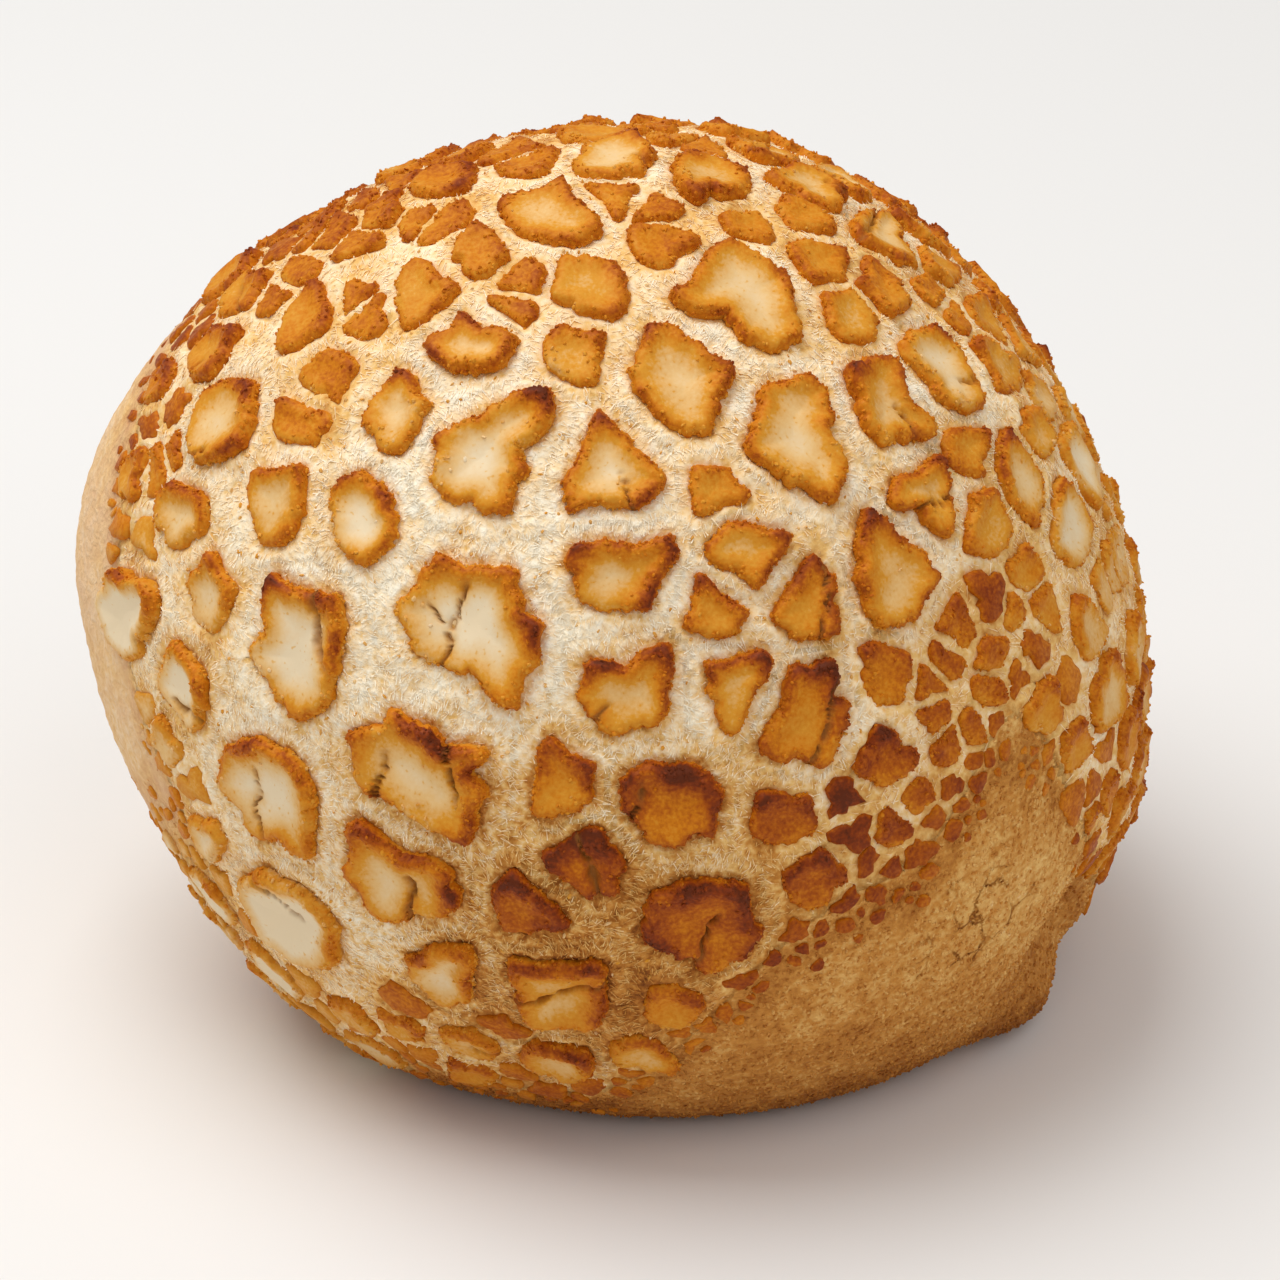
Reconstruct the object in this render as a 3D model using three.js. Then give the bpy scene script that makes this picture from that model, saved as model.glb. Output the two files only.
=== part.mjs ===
// Tiger bread roll: one solid. A round roll that leans a little, under a crust of rice paste that cracked
// into raised plates as the dough rose in the oven. Each plate sits in its own cell of the crackle, the cells
// meet along the bottoms of the cracks, and so the whole skin is one closed surface.
// Millimetres, +Z up. The origin is on the flat base under the roll's middle, -Y is the front and +X the
// right.
import * as THREE from "three";
import { ConvexHull } from "three/addons/math/ConvexHull.js";

// Dough: an ovoid whose long axis dips to the right, set down on its base.
const LONG_RADIUS = 56;
const DEEP_RADIUS = 53.5;
const SHORT_RADIUS = 50.5;
const LEAN_DEG = 45;
const MIDDLE_HEIGHT = 40;
const BASE_ROUNDING = 3;

// Swells and hollows that the oven left in the dough: place and spread in degrees, height in millimetres.
const SWELLS = [
  { place: "flat back shoulder", longitude: -150, latitude: 40, spread: 26, height: -7.5 },
  { place: "left cheek", longitude: -92, latitude: 8, spread: 20, height: 5 },
  { place: "lower left", longitude: -62, latitude: -38, spread: 20, height: 2.5 },
  { place: "flat right cheek", longitude: 120, latitude: 15, spread: 25, height: -3.5 },
  { place: "foot at the right", longitude: 67, latitude: -38, spread: 6, height: 4 },
  { place: "waist above the foot", longitude: 63, latitude: -27, spread: 5, height: -3.5 },
];

// Paste line: below it the crust is bare. It runs round the foot of the roll and rises in tongues.
const PASTE_LINE_LATITUDE = -40;
const BARE_TONGUES = [
  { place: "front right", longitude: 30, rise: 34, before: 26, after: 44, power: 3 },
  { place: "tip of the front one", longitude: 45, rise: 15, before: 10, after: 9, power: 2 },
  { place: "left", longitude: -110, rise: 76, before: 50, after: 53, power: 3.8 },
];
const MM_PER_DEGREE = 0.92;

// Plates: widths in millimetres. The crown is where the dough stretched most, so its plates are widest.
const CROWN = { longitude: -25, latitude: 12, spread: 38 };
const CROWN_PLATE_WIDTH = 10;
const SIDE_PLATE_WIDTH = 6.2;
const EDGE_PLATE_WIDTH = 3.4;
const EDGE_GROWTH = 0.34;
const SMALLEST_PLATE_WIDTH = 5.3;
const PLATE_THICKNESS = 1.3;
const THICKNESS_SPREAD = 0.5;
const PLATE_CURL = 0.3;
const PLATE_WALL = 0.45;
const PLATE_DISH = 0.35;
const CRACK_SHARE = 0.26;
const CRACK_LESS = 0.5;
const NARROWEST_CRACK = 0.5;
const CORNER_SHARPNESS = 9;
const LOBE_TWO = 0.13;
const LOBE_THREE = 0.09;
const MAIN_GROWTH = 1.12;
const FREE_GROWTH = 1.35;
const NEIGHBOUR_SPAN = 2.4;
const SMALLEST_SHARE = 0.5;

// The plates that stand out, placed by eye: longitude, latitude and width.
const MAIN_PLATES = [
  [-20, 43, 15], [-4.5, 41, 13], [-19, 24.5, 16.5], [-38.5, 18, 13.5], [-22.5, 9.5, 17], [-42, 1, 14.5],
  [-25.5, -3, 14], [-42, -15, 15], [-9, -16.5, 12.5], [-21.5, -16, 10], [7, -6.5, 12.5], [3, 8, 10.5],
  [18, 15.5, 11], [-2, 32, 12], [-1, 20, 10.5], [24, 46, 12], [8.5, 51.5, 12], [41, 45, 10.5],
  [24, 61, 13], [57, 46, 10], [32, 28, 9.5], [-29, 52, 9.5], [-34.5, 45, 9], [-66, 12, 11],
  [-34.5, 33, 8.5], [11, 19.5, 8], [20, 27, 7.5], [9, 28, 7.5], [13, 32.5, 8], [41, 35, 8],
  [-47, 31, 7.5], [-61, 25, 7.5], [-5, 1, 8.5],
];

// Scatter of the other plates and of the plain cells between them and the base.
const PLACE_SEED = 20;
const SHAPE_SEED = 7;
const SCATTER_TRIES = 24000;
const SIZE_SPREAD = 0.5;
const CROWDING = 0.86;
const BARE_CELL_WIDTH = 10;
const BASE_CELL_WIDTH = 24;

// Even rows of plain cells round the rim of the base, at these heights before the rim settles.
const RIM_ROW_HEIGHTS = [-4.5, 0.5, 5.5];
const RIM_ROW_CELLS = 32;
const RIM_CELL_WIDTH = 4.4;

// Facets: longest crack edge left in one piece, and the distance under which crack corners run together.
const CRACK_STEP = 6.2;
const CORNER_MERGE = 1.3;
const HALVINGS = 40;

const CRUST_COLOUR = 0xcf9a55;
const CRUST_ROUGHNESS = 0.8;

const { degToRad, radToDeg } = THREE.MathUtils;
const LONG_AXIS = direction(90, -LEAN_DEG);
const SHORT_AXIS = direction(90, 90 - LEAN_DEG);
const CROWN_DIRECTION = direction(CROWN.longitude, CROWN.latitude);
for (const swell of SWELLS) swell.direction = direction(swell.longitude, swell.latitude);

// Seeded draws from 0 to 1, the same on every run.
function drawer(seed) {
  let state = seed >>> 0;
  return () => {
    state = (state + 0x6d2b79f5) >>> 0;
    let mixed = Math.imul(state ^ (state >>> 15), state | 1);
    mixed ^= mixed + Math.imul(mixed ^ (mixed >>> 7), mixed | 61);
    return ((mixed ^ (mixed >>> 14)) >>> 0) / 4294967296;
  };
}

// Unit vector from the roll's middle: longitude 0 is the front and 90 the right.
function direction(longitude, latitude) {
  const east = degToRad(longitude);
  const north = degToRad(latitude);
  return new THREE.Vector3(
    Math.sin(east) * Math.cos(north),
    -Math.cos(east) * Math.cos(north),
    Math.sin(north),
  );
}

function degreesBetween(a, b) {
  return radToDeg(Math.acos(THREE.MathUtils.clamp(a.dot(b), -1, 1)));
}

// What would sink below the tray is flat, with a rounded rim.
function settled(height) {
  if (height > BASE_ROUNDING) return height;
  if (height < -BASE_ROUNDING) return 0;
  return (height + BASE_ROUNDING) ** 2 / (4 * BASE_ROUNDING);
}

// Distance from the roll's middle to the dough's skin, before the base settles.
function doughRadius(toward) {
  let radius = 1 / Math.hypot(
    toward.dot(LONG_AXIS) / LONG_RADIUS,
    toward.y / DEEP_RADIUS,
    toward.dot(SHORT_AXIS) / SHORT_RADIUS,
  );
  for (const swell of SWELLS) {
    const away = degreesBetween(toward, swell.direction) / swell.spread;
    radius += swell.height * Math.exp(-0.5 * away * away);
  }
  return radius;
}

// Point of the dough in a direction, lifted along it.
function doughPoint(toward, lift = 0) {
  const point = toward.clone().multiplyScalar(doughRadius(toward) + lift);
  point.z = settled(point.z + MIDDLE_HEIGHT);
  return point;
}

// Direction at a longitude in which the dough, before it settles, is at a height near its base.
function directionAtHeight(longitude, height) {
  let [low, high] = [-90, 0];
  for (let n = 0; n < HALVINGS; n++) {
    const middle = (low + high) / 2;
    const toward = direction(longitude, middle);
    if (toward.z * doughRadius(toward) + MIDDLE_HEIGHT < height) low = middle;
    else high = middle;
  }
  return direction(longitude, low);
}

// Millimetres above the paste line; below zero the crust is bare.
function abovePasteLine(toward) {
  const longitude = radToDeg(Math.atan2(toward.x, -toward.y));
  let line = PASTE_LINE_LATITUDE;
  for (const tongue of BARE_TONGUES) {
    const turned = ((longitude - tongue.longitude + 540) % 360) - 180;
    const away = Math.abs(turned) / (turned < 0 ? tongue.before : tongue.after);
    line += tongue.rise * Math.exp(-(away ** tongue.power));
  }
  return (radToDeg(Math.asin(toward.z)) - line) * MM_PER_DEGREE;
}

function plateWidthAt(toward, margin) {
  const away = degreesBetween(toward, CROWN_DIRECTION) / CROWN.spread;
  const width = SIDE_PLATE_WIDTH + (CROWN_PLATE_WIDTH - SIDE_PLATE_WIDTH) * Math.exp(-away * away);
  return Math.min(width, EDGE_PLATE_WIDTH + EDGE_GROWTH * margin);
}

function crackBetween(widthA, widthB) {
  return Math.max(NARROWEST_CRACK, (CRACK_SHARE * (widthA + widthB)) / 2 - CRACK_LESS);
}

function bareWidthAt(point, margin) {
  if (point.z === 0) return BASE_CELL_WIDTH;
  return margin > 0 ? SMALLEST_PLATE_WIDTH : BARE_CELL_WIDTH;
}

// Cells of the crackle: main plates first, then plates wherever one fits, then plain cells of bare crust
// and of the base.
function scatterCells() {
  const place = drawer(PLACE_SEED);
  const shape = drawer(SHAPE_SEED);
  const cells = [];
  const add = (toward, width, plated, growth) => {
    const turns = [shape(), shape(), shape()].map((share) => share * 2 * Math.PI);
    const thickness = PLATE_THICKNESS * (1 + THICKNESS_SPREAD * (shape() - 0.5));
    const reach = (width / 2) * growth;
    cells.push({ toward, point: doughPoint(toward), width, reach, plated, turns, thickness });
  };
  const fits = (point, width) => cells.every((cell) => {
    const room = (cell.width + width) / 2 + crackBetween(cell.width, width);
    return cell.point.distanceTo(point) > room * CROWDING;
  });
  for (const [longitude, latitude, width] of MAIN_PLATES) {
    add(direction(longitude, latitude), width, true, MAIN_GROWTH);
  }
  for (let n = 0; n < SCATTER_TRIES; n++) {
    const toward = direction(360 * place() - 180, radToDeg(Math.asin(2 * place() - 1)));
    const size = 1 + SIZE_SPREAD * (place() - 0.5);
    const margin = abovePasteLine(toward);
    const width = plateWidthAt(toward, margin) * size;
    if (margin < 0 || width < SMALLEST_PLATE_WIDTH) continue;
    if (fits(doughPoint(toward), width)) add(toward, width, true, FREE_GROWTH);
  }
  RIM_ROW_HEIGHTS.forEach((height, row) => {
    for (let n = 0; n < RIM_ROW_CELLS; n++) {
      const toward = directionAtHeight(((n + row / 2) * 360) / RIM_ROW_CELLS, height);
      if (fits(doughPoint(toward), RIM_CELL_WIDTH)) add(toward, RIM_CELL_WIDTH, false, 1);
    }
  });
  for (let n = 0; n < SCATTER_TRIES; n++) {
    const toward = direction(360 * place() - 180, radToDeg(Math.asin(2 * place() - 1)));
    const point = doughPoint(toward);
    const width = bareWidthAt(point, abovePasteLine(toward));
    if (fits(point, width)) add(toward, width, false, 1);
  }
  return cells;
}

// Two directions across a cell's face, the second a quarter turn after the first, seen from outside.
function acrossCell(cell) {
  const first = new THREE.Vector3(-cell.toward.y, cell.toward.x, 0).normalize();
  return [first, cell.toward.clone().cross(first)];
}

// How far a plate reaches from its middle at an angle: its own lobed outline, held off by its neighbours.
function plateReach(cell, angle, cells) {
  const [first, second] = acrossCell(cell);
  const twos = LOBE_TWO * Math.sin(2 * angle + cell.turns[0]);
  const threes = LOBE_THREE * Math.sin(3 * angle + cell.turns[1]);
  let sum = (cell.reach * (1 + twos + threes)) ** -CORNER_SHARPNESS;
  for (const other of cells) {
    const step = other.point.clone().sub(cell.point);
    const apart = step.length();
    if (other === cell || apart > (NEIGHBOUR_SPAN * (cell.width + other.width)) / 2) continue;
    const facing = Math.cos(angle - Math.atan2(step.dot(second), step.dot(first)));
    const shared = (apart + (cell.width - other.width) / 2 - crackBetween(cell.width, other.width)) / 2;
    if (facing > 0) sum += (facing / Math.max(shared, SMALLEST_SHARE)) ** CORNER_SHARPNESS;
  }
  return sum ** (-1 / CORNER_SHARPNESS);
}

// Each cell's corners in turn, from the triangles that join neighbouring cells.
function findCorners(cells) {
  const hull = new ConvexHull().setFromPoints(cells.map((cell) => cell.toward));
  const cellOf = new Map(cells.map((cell) => [cell.toward, cell]));
  const corners = [];
  for (const cell of cells) cell.corners = new Set();
  for (const face of hull.faces) {
    const point = doughPoint(face.normal);
    let corner = corners.find((known) => known.point.distanceTo(point) < CORNER_MERGE);
    if (!corner) {
      corner = { id: corners.length, toward: face.normal.clone(), point, plated: false };
      corners.push(corner);
    }
    for (const n of [0, 1, 2]) {
      const cell = cellOf.get(face.getEdge(n).head().point);
      cell.corners.add(corner);
      corner.plated ||= cell.plated;
    }
  }
  for (const cell of cells) {
    const [first, second] = acrossCell(cell);
    const turn = (corner) => Math.atan2(corner.toward.dot(second), corner.toward.dot(first));
    cell.corners = [...cell.corners].sort((a, b) => turn(a) - turn(b));
  }
}

// The skin as one indexed geometry: crack lines that the cells share, then a foot, a rim and a middle for
// each plate.
function rollGeometry(cells) {
  const positions = [];
  const triangles = [];
  const crackVertices = new Map();
  const addVertex = (point) => positions.push(point.x, point.y, point.z) / 3 - 1;

  const crackVertex = (from, to, step, steps) => {
    if (from.id > to.id) return crackVertex(to, from, steps - step, steps);
    if (step === 0) return crackVertex(from, from, 1, 1);
    if (step === steps && from !== to) return crackVertex(to, to, 1, 1);
    const key = `${from.id} ${to.id} ${step}`;
    if (!crackVertices.has(key)) {
      const toward = from.toward.clone().lerp(to.toward, step / steps).normalize();
      crackVertices.set(key, { toward, index: addVertex(doughPoint(toward)) });
    }
    return crackVertices.get(key);
  };

  const crackLoop = (cell) => cell.corners.flatMap((corner, n) => {
    const next = cell.corners[(n + 1) % cell.corners.length];
    const beside = corner.plated && next.plated;
    const steps = beside ? Math.ceil(corner.point.distanceTo(next.point) / CRACK_STEP) : 1;
    return Array.from({ length: steps }, (_, step) => crackVertex(corner, next, step, steps));
  });

  const joinRings = (outer, inner) => outer.forEach((_, n) => {
    const next = (n + 1) % outer.length;
    triangles.push(outer[n], outer[next], inner[next], outer[n], inner[next], inner[n]);
  });

  const closeRing = (ring, middle) => ring.forEach((vertex, n) => {
    triangles.push(vertex, ring[(n + 1) % ring.length], middle);
  });

  for (const cell of cells) {
    const loop = crackLoop(cell);
    const crackRing = loop.map((vertex) => vertex.index);
    if (!cell.plated) {
      closeRing(crackRing, addVertex(cell.point));
      continue;
    }
    const [first, second] = acrossCell(cell);
    const radius = cell.point.distanceTo(new THREE.Vector3(0, 0, MIDDLE_HEIGHT));
    const spokes = loop.map(({ toward }) => {
      const [x, y] = [toward.dot(first), toward.dot(second)];
      const angle = Math.atan2(y, x);
      const crackReach = (radius * Math.hypot(x, y)) / toward.dot(cell.toward);
      const room = crackReach - NARROWEST_CRACK / 2;
      return { angle, reach: Math.min(plateReach(cell, angle, cells), room) };
    });
    const ring = (inset, lift) => spokes.map(({ angle, reach }) => {
      const out = cell.toward.clone().multiplyScalar(radius);
      out.addScaledVector(first, Math.cos(angle) * (reach - inset));
      out.addScaledVector(second, Math.sin(angle) * (reach - inset));
      const curl = 1 + PLATE_CURL * Math.sin(angle + cell.turns[2]);
      return addVertex(doughPoint(out.normalize(), lift * curl));
    });
    const foot = ring(0, 0);
    const rim = ring(PLATE_WALL, cell.thickness);
    joinRings(crackRing, foot);
    joinRings(foot, rim);
    closeRing(rim, addVertex(doughPoint(cell.toward, cell.thickness - PLATE_DISH)));
  }
  const geometry = new THREE.BufferGeometry();
  geometry.setAttribute("position", new THREE.Float32BufferAttribute(positions, 3));
  geometry.setIndex(triangles);
  geometry.computeVertexNormals();
  return geometry;
}

function buildRoll() {
  const cells = scatterCells();
  findCorners(cells);
  const crust = new THREE.MeshStandardMaterial({
    color: CRUST_COLOUR,
    roughness: CRUST_ROUGHNESS,
    metalness: 0,
  });
  const mesh = new THREE.Mesh(rollGeometry(cells), crust);
  mesh.name = "roll";
  return mesh;
}

const tigerRoll = new THREE.Group();
tigerRoll.add(buildRoll());

export default tigerRoll;
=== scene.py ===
"""Dresses the tiger bread roll: its dough, the crackled rice paste crust and the crumbs that cling to it.

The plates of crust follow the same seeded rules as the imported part, so that each lies where the part has it.
Shape rules are in millimetres and degrees, and meshes are written in metres.
"""

from __future__ import annotations

import logging
import math
from abc import ABC, abstractmethod
from collections.abc import Callable
from dataclasses import dataclass
from enum import Enum, IntEnum
from functools import partial
from typing import ClassVar

import bpy
import numpy as np
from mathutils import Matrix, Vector, kdtree, noise

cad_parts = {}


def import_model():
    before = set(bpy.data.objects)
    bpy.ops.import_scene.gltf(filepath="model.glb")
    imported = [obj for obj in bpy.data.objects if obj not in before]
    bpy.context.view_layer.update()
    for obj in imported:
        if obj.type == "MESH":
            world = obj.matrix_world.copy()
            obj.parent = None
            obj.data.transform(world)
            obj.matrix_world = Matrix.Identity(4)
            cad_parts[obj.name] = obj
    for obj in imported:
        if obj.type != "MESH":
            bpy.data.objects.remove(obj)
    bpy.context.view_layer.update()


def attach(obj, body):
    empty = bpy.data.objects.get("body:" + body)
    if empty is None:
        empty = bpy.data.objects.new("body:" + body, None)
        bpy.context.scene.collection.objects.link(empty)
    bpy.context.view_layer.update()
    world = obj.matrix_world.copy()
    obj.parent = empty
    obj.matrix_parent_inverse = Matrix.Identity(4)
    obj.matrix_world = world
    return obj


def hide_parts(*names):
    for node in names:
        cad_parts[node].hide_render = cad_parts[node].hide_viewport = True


Array = np.ndarray
Finish = bpy.types.Material
Pair = tuple[float, float]
Piece = bpy.types.Object
Socket = bpy.types.NodeSocket
Tree = bpy.types.NodeTree
Triple = tuple[float, float, float]
AddNode = Callable[..., Socket]
Settings = dict[str | int, object]
Shell = tuple[Array, Array, dict[str, Array]]
Spots = tuple[tuple[float, float, float, float], ...]
Stops = tuple[tuple[float, str], ...]

LOG = logging.getLogger("tiger_roll")
MM = 0.001
TURN = 2 * math.pi
UP = (0.0, 0.0, 1.0)
BODY = "root"

# Kinds of node that recur
ATTRIBUTE = "ShaderNodeAttribute"
MATHS = "ShaderNodeMath"
NAMED = "GeometryNodeInputNamedAttribute"
NOISE = "ShaderNodeTexNoise"
RANDOM = "FunctionNodeRandomValue"
RANGE = "ShaderNodeMapRange"


class Seed(IntEnum):
    """Starts of the series of draws. Those for single cells are counted up from here."""

    PLATE_SHAPES = 7
    PLATES = 20
    FLAKES = 41
    FLAKE_SHAPES = 43
    FLAKES_KEPT = 47
    SKIRT = 61
    SKIRT_SHAPES = 63
    FLAKE_TONES = 300
    CORNERS = 500
    BREAKS = 700
    SPLITS = 900
    NOTCHES = 1700


# Small helpers


def linear(colour: str) -> tuple[float, float, float, float]:
    """Turns an sRGB colour into the linear values that shaders use.

    Args:
        colour: Six hex digits after a hash sign.

    Returns:
        Red, green and blue, with full alpha.
    """
    shares = [int(colour[at : at + 2], 16) / 255 for at in (1, 3, 5)]
    red, green, blue = (s / 12.92 if s <= 0.04045 else ((s + 0.055) / 1.055) ** 2.4 for s in shares)
    return red, green, blue, 1.0


def smooth(low: float, high: float, value: Array | float) -> Array:
    """Shares from 0 to 1 of an even rise that starts at the low value and is over at the high one."""
    share = np.clip((value - low) / (high - low), 0.0, 1.0)
    return share * share * (3.0 - 2.0 * share)


def fade(away: Array, power: float = 2.0) -> Array:
    """Falls from 1 at zero to 0 on both sides, with broader shoulders at higher powers."""
    return np.exp(-(np.abs(away) ** power))


def direction(longitude: Array | float, latitude: Array | float) -> Array:
    """Points from the roll's middle: longitude 0 is the front and 90 the right.

    Args:
        longitude: Degrees to the right of the front.
        latitude: Degrees above the middle.

    Returns:
        Unit vectors in the last axis.
    """
    east = np.radians(longitude)
    north = np.radians(latitude)
    return np.stack([np.sin(east) * np.cos(north), -np.cos(east) * np.cos(north), np.sin(north)], axis=-1)


def longitude_of(towards: Array) -> Array:
    """Degrees to the right of the front, for unit vectors."""
    return np.degrees(np.arctan2(towards[..., 0], -towards[..., 1]))


def latitude_of(towards: Array) -> Array:
    """Degrees above the middle, for unit vectors."""
    return np.degrees(np.arcsin(np.clip(towards[..., 2], -1, 1)))


def spread_evenly(drawn: Array) -> Array:
    """Unit vectors spread evenly all round, from the first two draws of each row."""
    return direction(360 * drawn[:, 0] - 180, np.degrees(np.arcsin(2 * drawn[:, 1] - 1)))


def unit(vectors: Array) -> Array:
    """Scales vectors in the last axis to length one."""
    return vectors / np.maximum(np.linalg.norm(vectors, axis=-1, keepdims=True), 1e-9)


def axes_at(towards: Array) -> tuple[Array, Array]:
    """Level and rising directions across the faces that unit vectors point through."""
    level = unit(np.cross(UP, towards))
    return level, np.cross(towards, level)


def degrees_between(towards: Array, one: Array) -> Array:
    """Angles between unit vectors and one other unit vector."""
    return np.degrees(np.arccos(np.clip(towards @ one, -1.0, 1.0)))


def spot_amounts(towards: Array, spots: Spots) -> Array:
    """What spots of longitude, latitude, spread and amount add at unit vectors, a row for each spot."""
    away = [degrees_between(towards, direction(east, north)) / spread for east, north, spread, _ in spots]
    return np.array([spot[3] for spot in spots])[:, None] * fade(np.stack(away))


def even_angles(count: int) -> Array:
    """Angles all the way round, in radians."""
    return np.linspace(0, TURN, count, endpoint=False)


def turn_between(angles: Array, start: float) -> Array:
    """Turns from one angle to others, the short way round, in radians."""
    return (angles - start + math.pi) % TURN - math.pi


def draws(seed: int, *shape: int) -> Array:
    """Seeded draws from 0 to 1, the same as the part's.

    Args:
        seed: Start of the series.
        shape: Shape of the result.

    Returns:
        The draws in order.
    """
    mask = np.uint64(0xFFFFFFFF)
    step = np.arange(1, math.prod(shape) + 1, dtype=np.uint64) * np.uint64(0x6D2B79F5)
    state = (np.uint64(seed) + step) & mask
    mixed = ((state ^ (state >> np.uint64(15))) * (state | np.uint64(1))) & mask
    turned = ((mixed ^ (mixed >> np.uint64(7))) * (mixed | np.uint64(61))) & mask
    mixed = mixed ^ ((mixed + turned) & mask)
    return ((mixed ^ (mixed >> np.uint64(14))).astype(float) / 2.0**32).reshape(shape)


@dataclass(frozen=True)
class Ripple:
    """Smooth unevenness in space: how high and how wide its bumps are, and which pattern they make."""

    height: float
    size: float
    seed: int
    shift: ClassVar[float] = 17.31

    def at(self, points: Array) -> Array:
        """Reads the unevenness.

        Args:
            points: Places in millimetres, in the last axis.

        Returns:
            Values within about the height either side of zero, one for each place.
        """
        flat = (points.reshape(-1, 3) / self.size + self.seed * self.shift).tolist()
        values = np.fromiter((noise.noise(place) for place in flat), float, len(flat))
        return self.height * values.reshape(points.shape[:-1])


Ripples = tuple[Ripple, ...]


def ripples_at(points: Array, ripples: Ripples) -> Array:
    """Sums several kinds of unevenness at places in millimetres."""
    return sum(ripple.at(points) for ripple in ripples)


def make_mesh(name: str, points: Array, faces: Array, values: dict[str, Array]) -> bpy.types.Mesh:
    """Writes a smooth mesh with values on its points.

    Args:
        name: Name of the mesh.
        points: Places in millimetres.
        faces: Point numbers, one row for each face.
        values: Numbers or vectors for each point, by attribute name.

    Returns:
        The mesh, in metres.
    """
    mesh = bpy.data.meshes.new(name)
    count, corners = faces.shape
    mesh.vertices.add(len(points))
    mesh.vertices.foreach_set("co", (points * MM).astype(np.float32).ravel())
    mesh.loops.add(count * corners)
    mesh.loops.foreach_set("vertex_index", faces.astype(np.int32).ravel())
    mesh.polygons.add(count)
    mesh.polygons.foreach_set("loop_start", np.arange(0, count * corners, corners, dtype=np.int32))
    for key, value in values.items():
        kind, slot = ("FLOAT", "value") if value.ndim == 1 else ("FLOAT_VECTOR", "vector")
        mesh.attributes.new(key, kind, "POINT").data.foreach_set(slot, value.astype(np.float32).ravel())
    mesh.update(calc_edges=True)
    mesh.validate()
    mesh.shade_smooth()
    return mesh


def place(name: str, mesh: bpy.types.Mesh, material: Finish) -> Piece:
    """Puts a mesh in the scene as a piece of the roll.

    Args:
        name: Name of the piece.
        mesh: Its mesh, in the roll's frame.
        material: Finish of all its faces.

    Returns:
        The piece, riding on the roll's body.
    """
    mesh.name = name
    mesh.materials.clear()
    mesh.materials.append(material)
    piece = bpy.data.objects.new(name, mesh)
    bpy.context.scene.collection.objects.link(piece)
    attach(piece, BODY)
    triangles = sum(len(face.vertices) - 2 for face in mesh.polygons)
    LOG.info("%s: %d triangles", name, triangles)
    return piece


def feed(node: bpy.types.Node, settings: Settings) -> None:
    """Gives a node its settings and links.

    Args:
        node: The node.
        settings: Values, or sockets to link, by the name of a property or the name or number of an input.
    """
    for key, value in settings.items():
        if isinstance(value, Socket):
            node.id_data.links.new(value, node.inputs[key])
        elif isinstance(key, str) and hasattr(node, key):
            setattr(node, key, value)
        else:
            node.inputs[key].default_value = value


def add_node(tree: Tree, kind: str, settings: Settings, output: str | int = 0) -> Socket:
    """Adds a node with its settings and links.

    Args:
        tree: Tree that gets the node.
        kind: Blender's name for the kind of node.
        settings: Values and sockets, as feed takes them.
        output: Name or number of the output that is wanted.

    Returns:
        That output.
    """
    node = tree.nodes.new(kind)
    feed(node, settings)
    return node.outputs[output]


# Shape rules of the roll


@dataclass(frozen=True)
class Swell:
    """A rounded swelling or hollow of the dough."""

    longitude: float
    latitude: float
    spread: float
    height: float

    def off(self, towards: Array) -> Array:
        """How far places are from its middle, in spreads, for unit vectors."""
        return degrees_between(towards, direction(self.longitude, self.latitude)) / self.spread

    def at(self, towards: Array) -> Array:
        """Its height in millimetres, for unit vectors."""
        return self.height * np.exp(-0.5 * self.off(towards) ** 2)


@dataclass(frozen=True)
class Tongue:
    """A place where bare crust rises between the paste."""

    longitude: float
    rise: float
    before: float
    after: float
    power: float

    def at(self, longitude: Array) -> Array:
        """Degrees by which it raises the edge of the paste, at degrees to the right of the front."""
        turned = (longitude - self.longitude + 540) % 360 - 180
        return self.rise * fade(turned / np.where(turned < 0, self.before, self.after), self.power)


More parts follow.
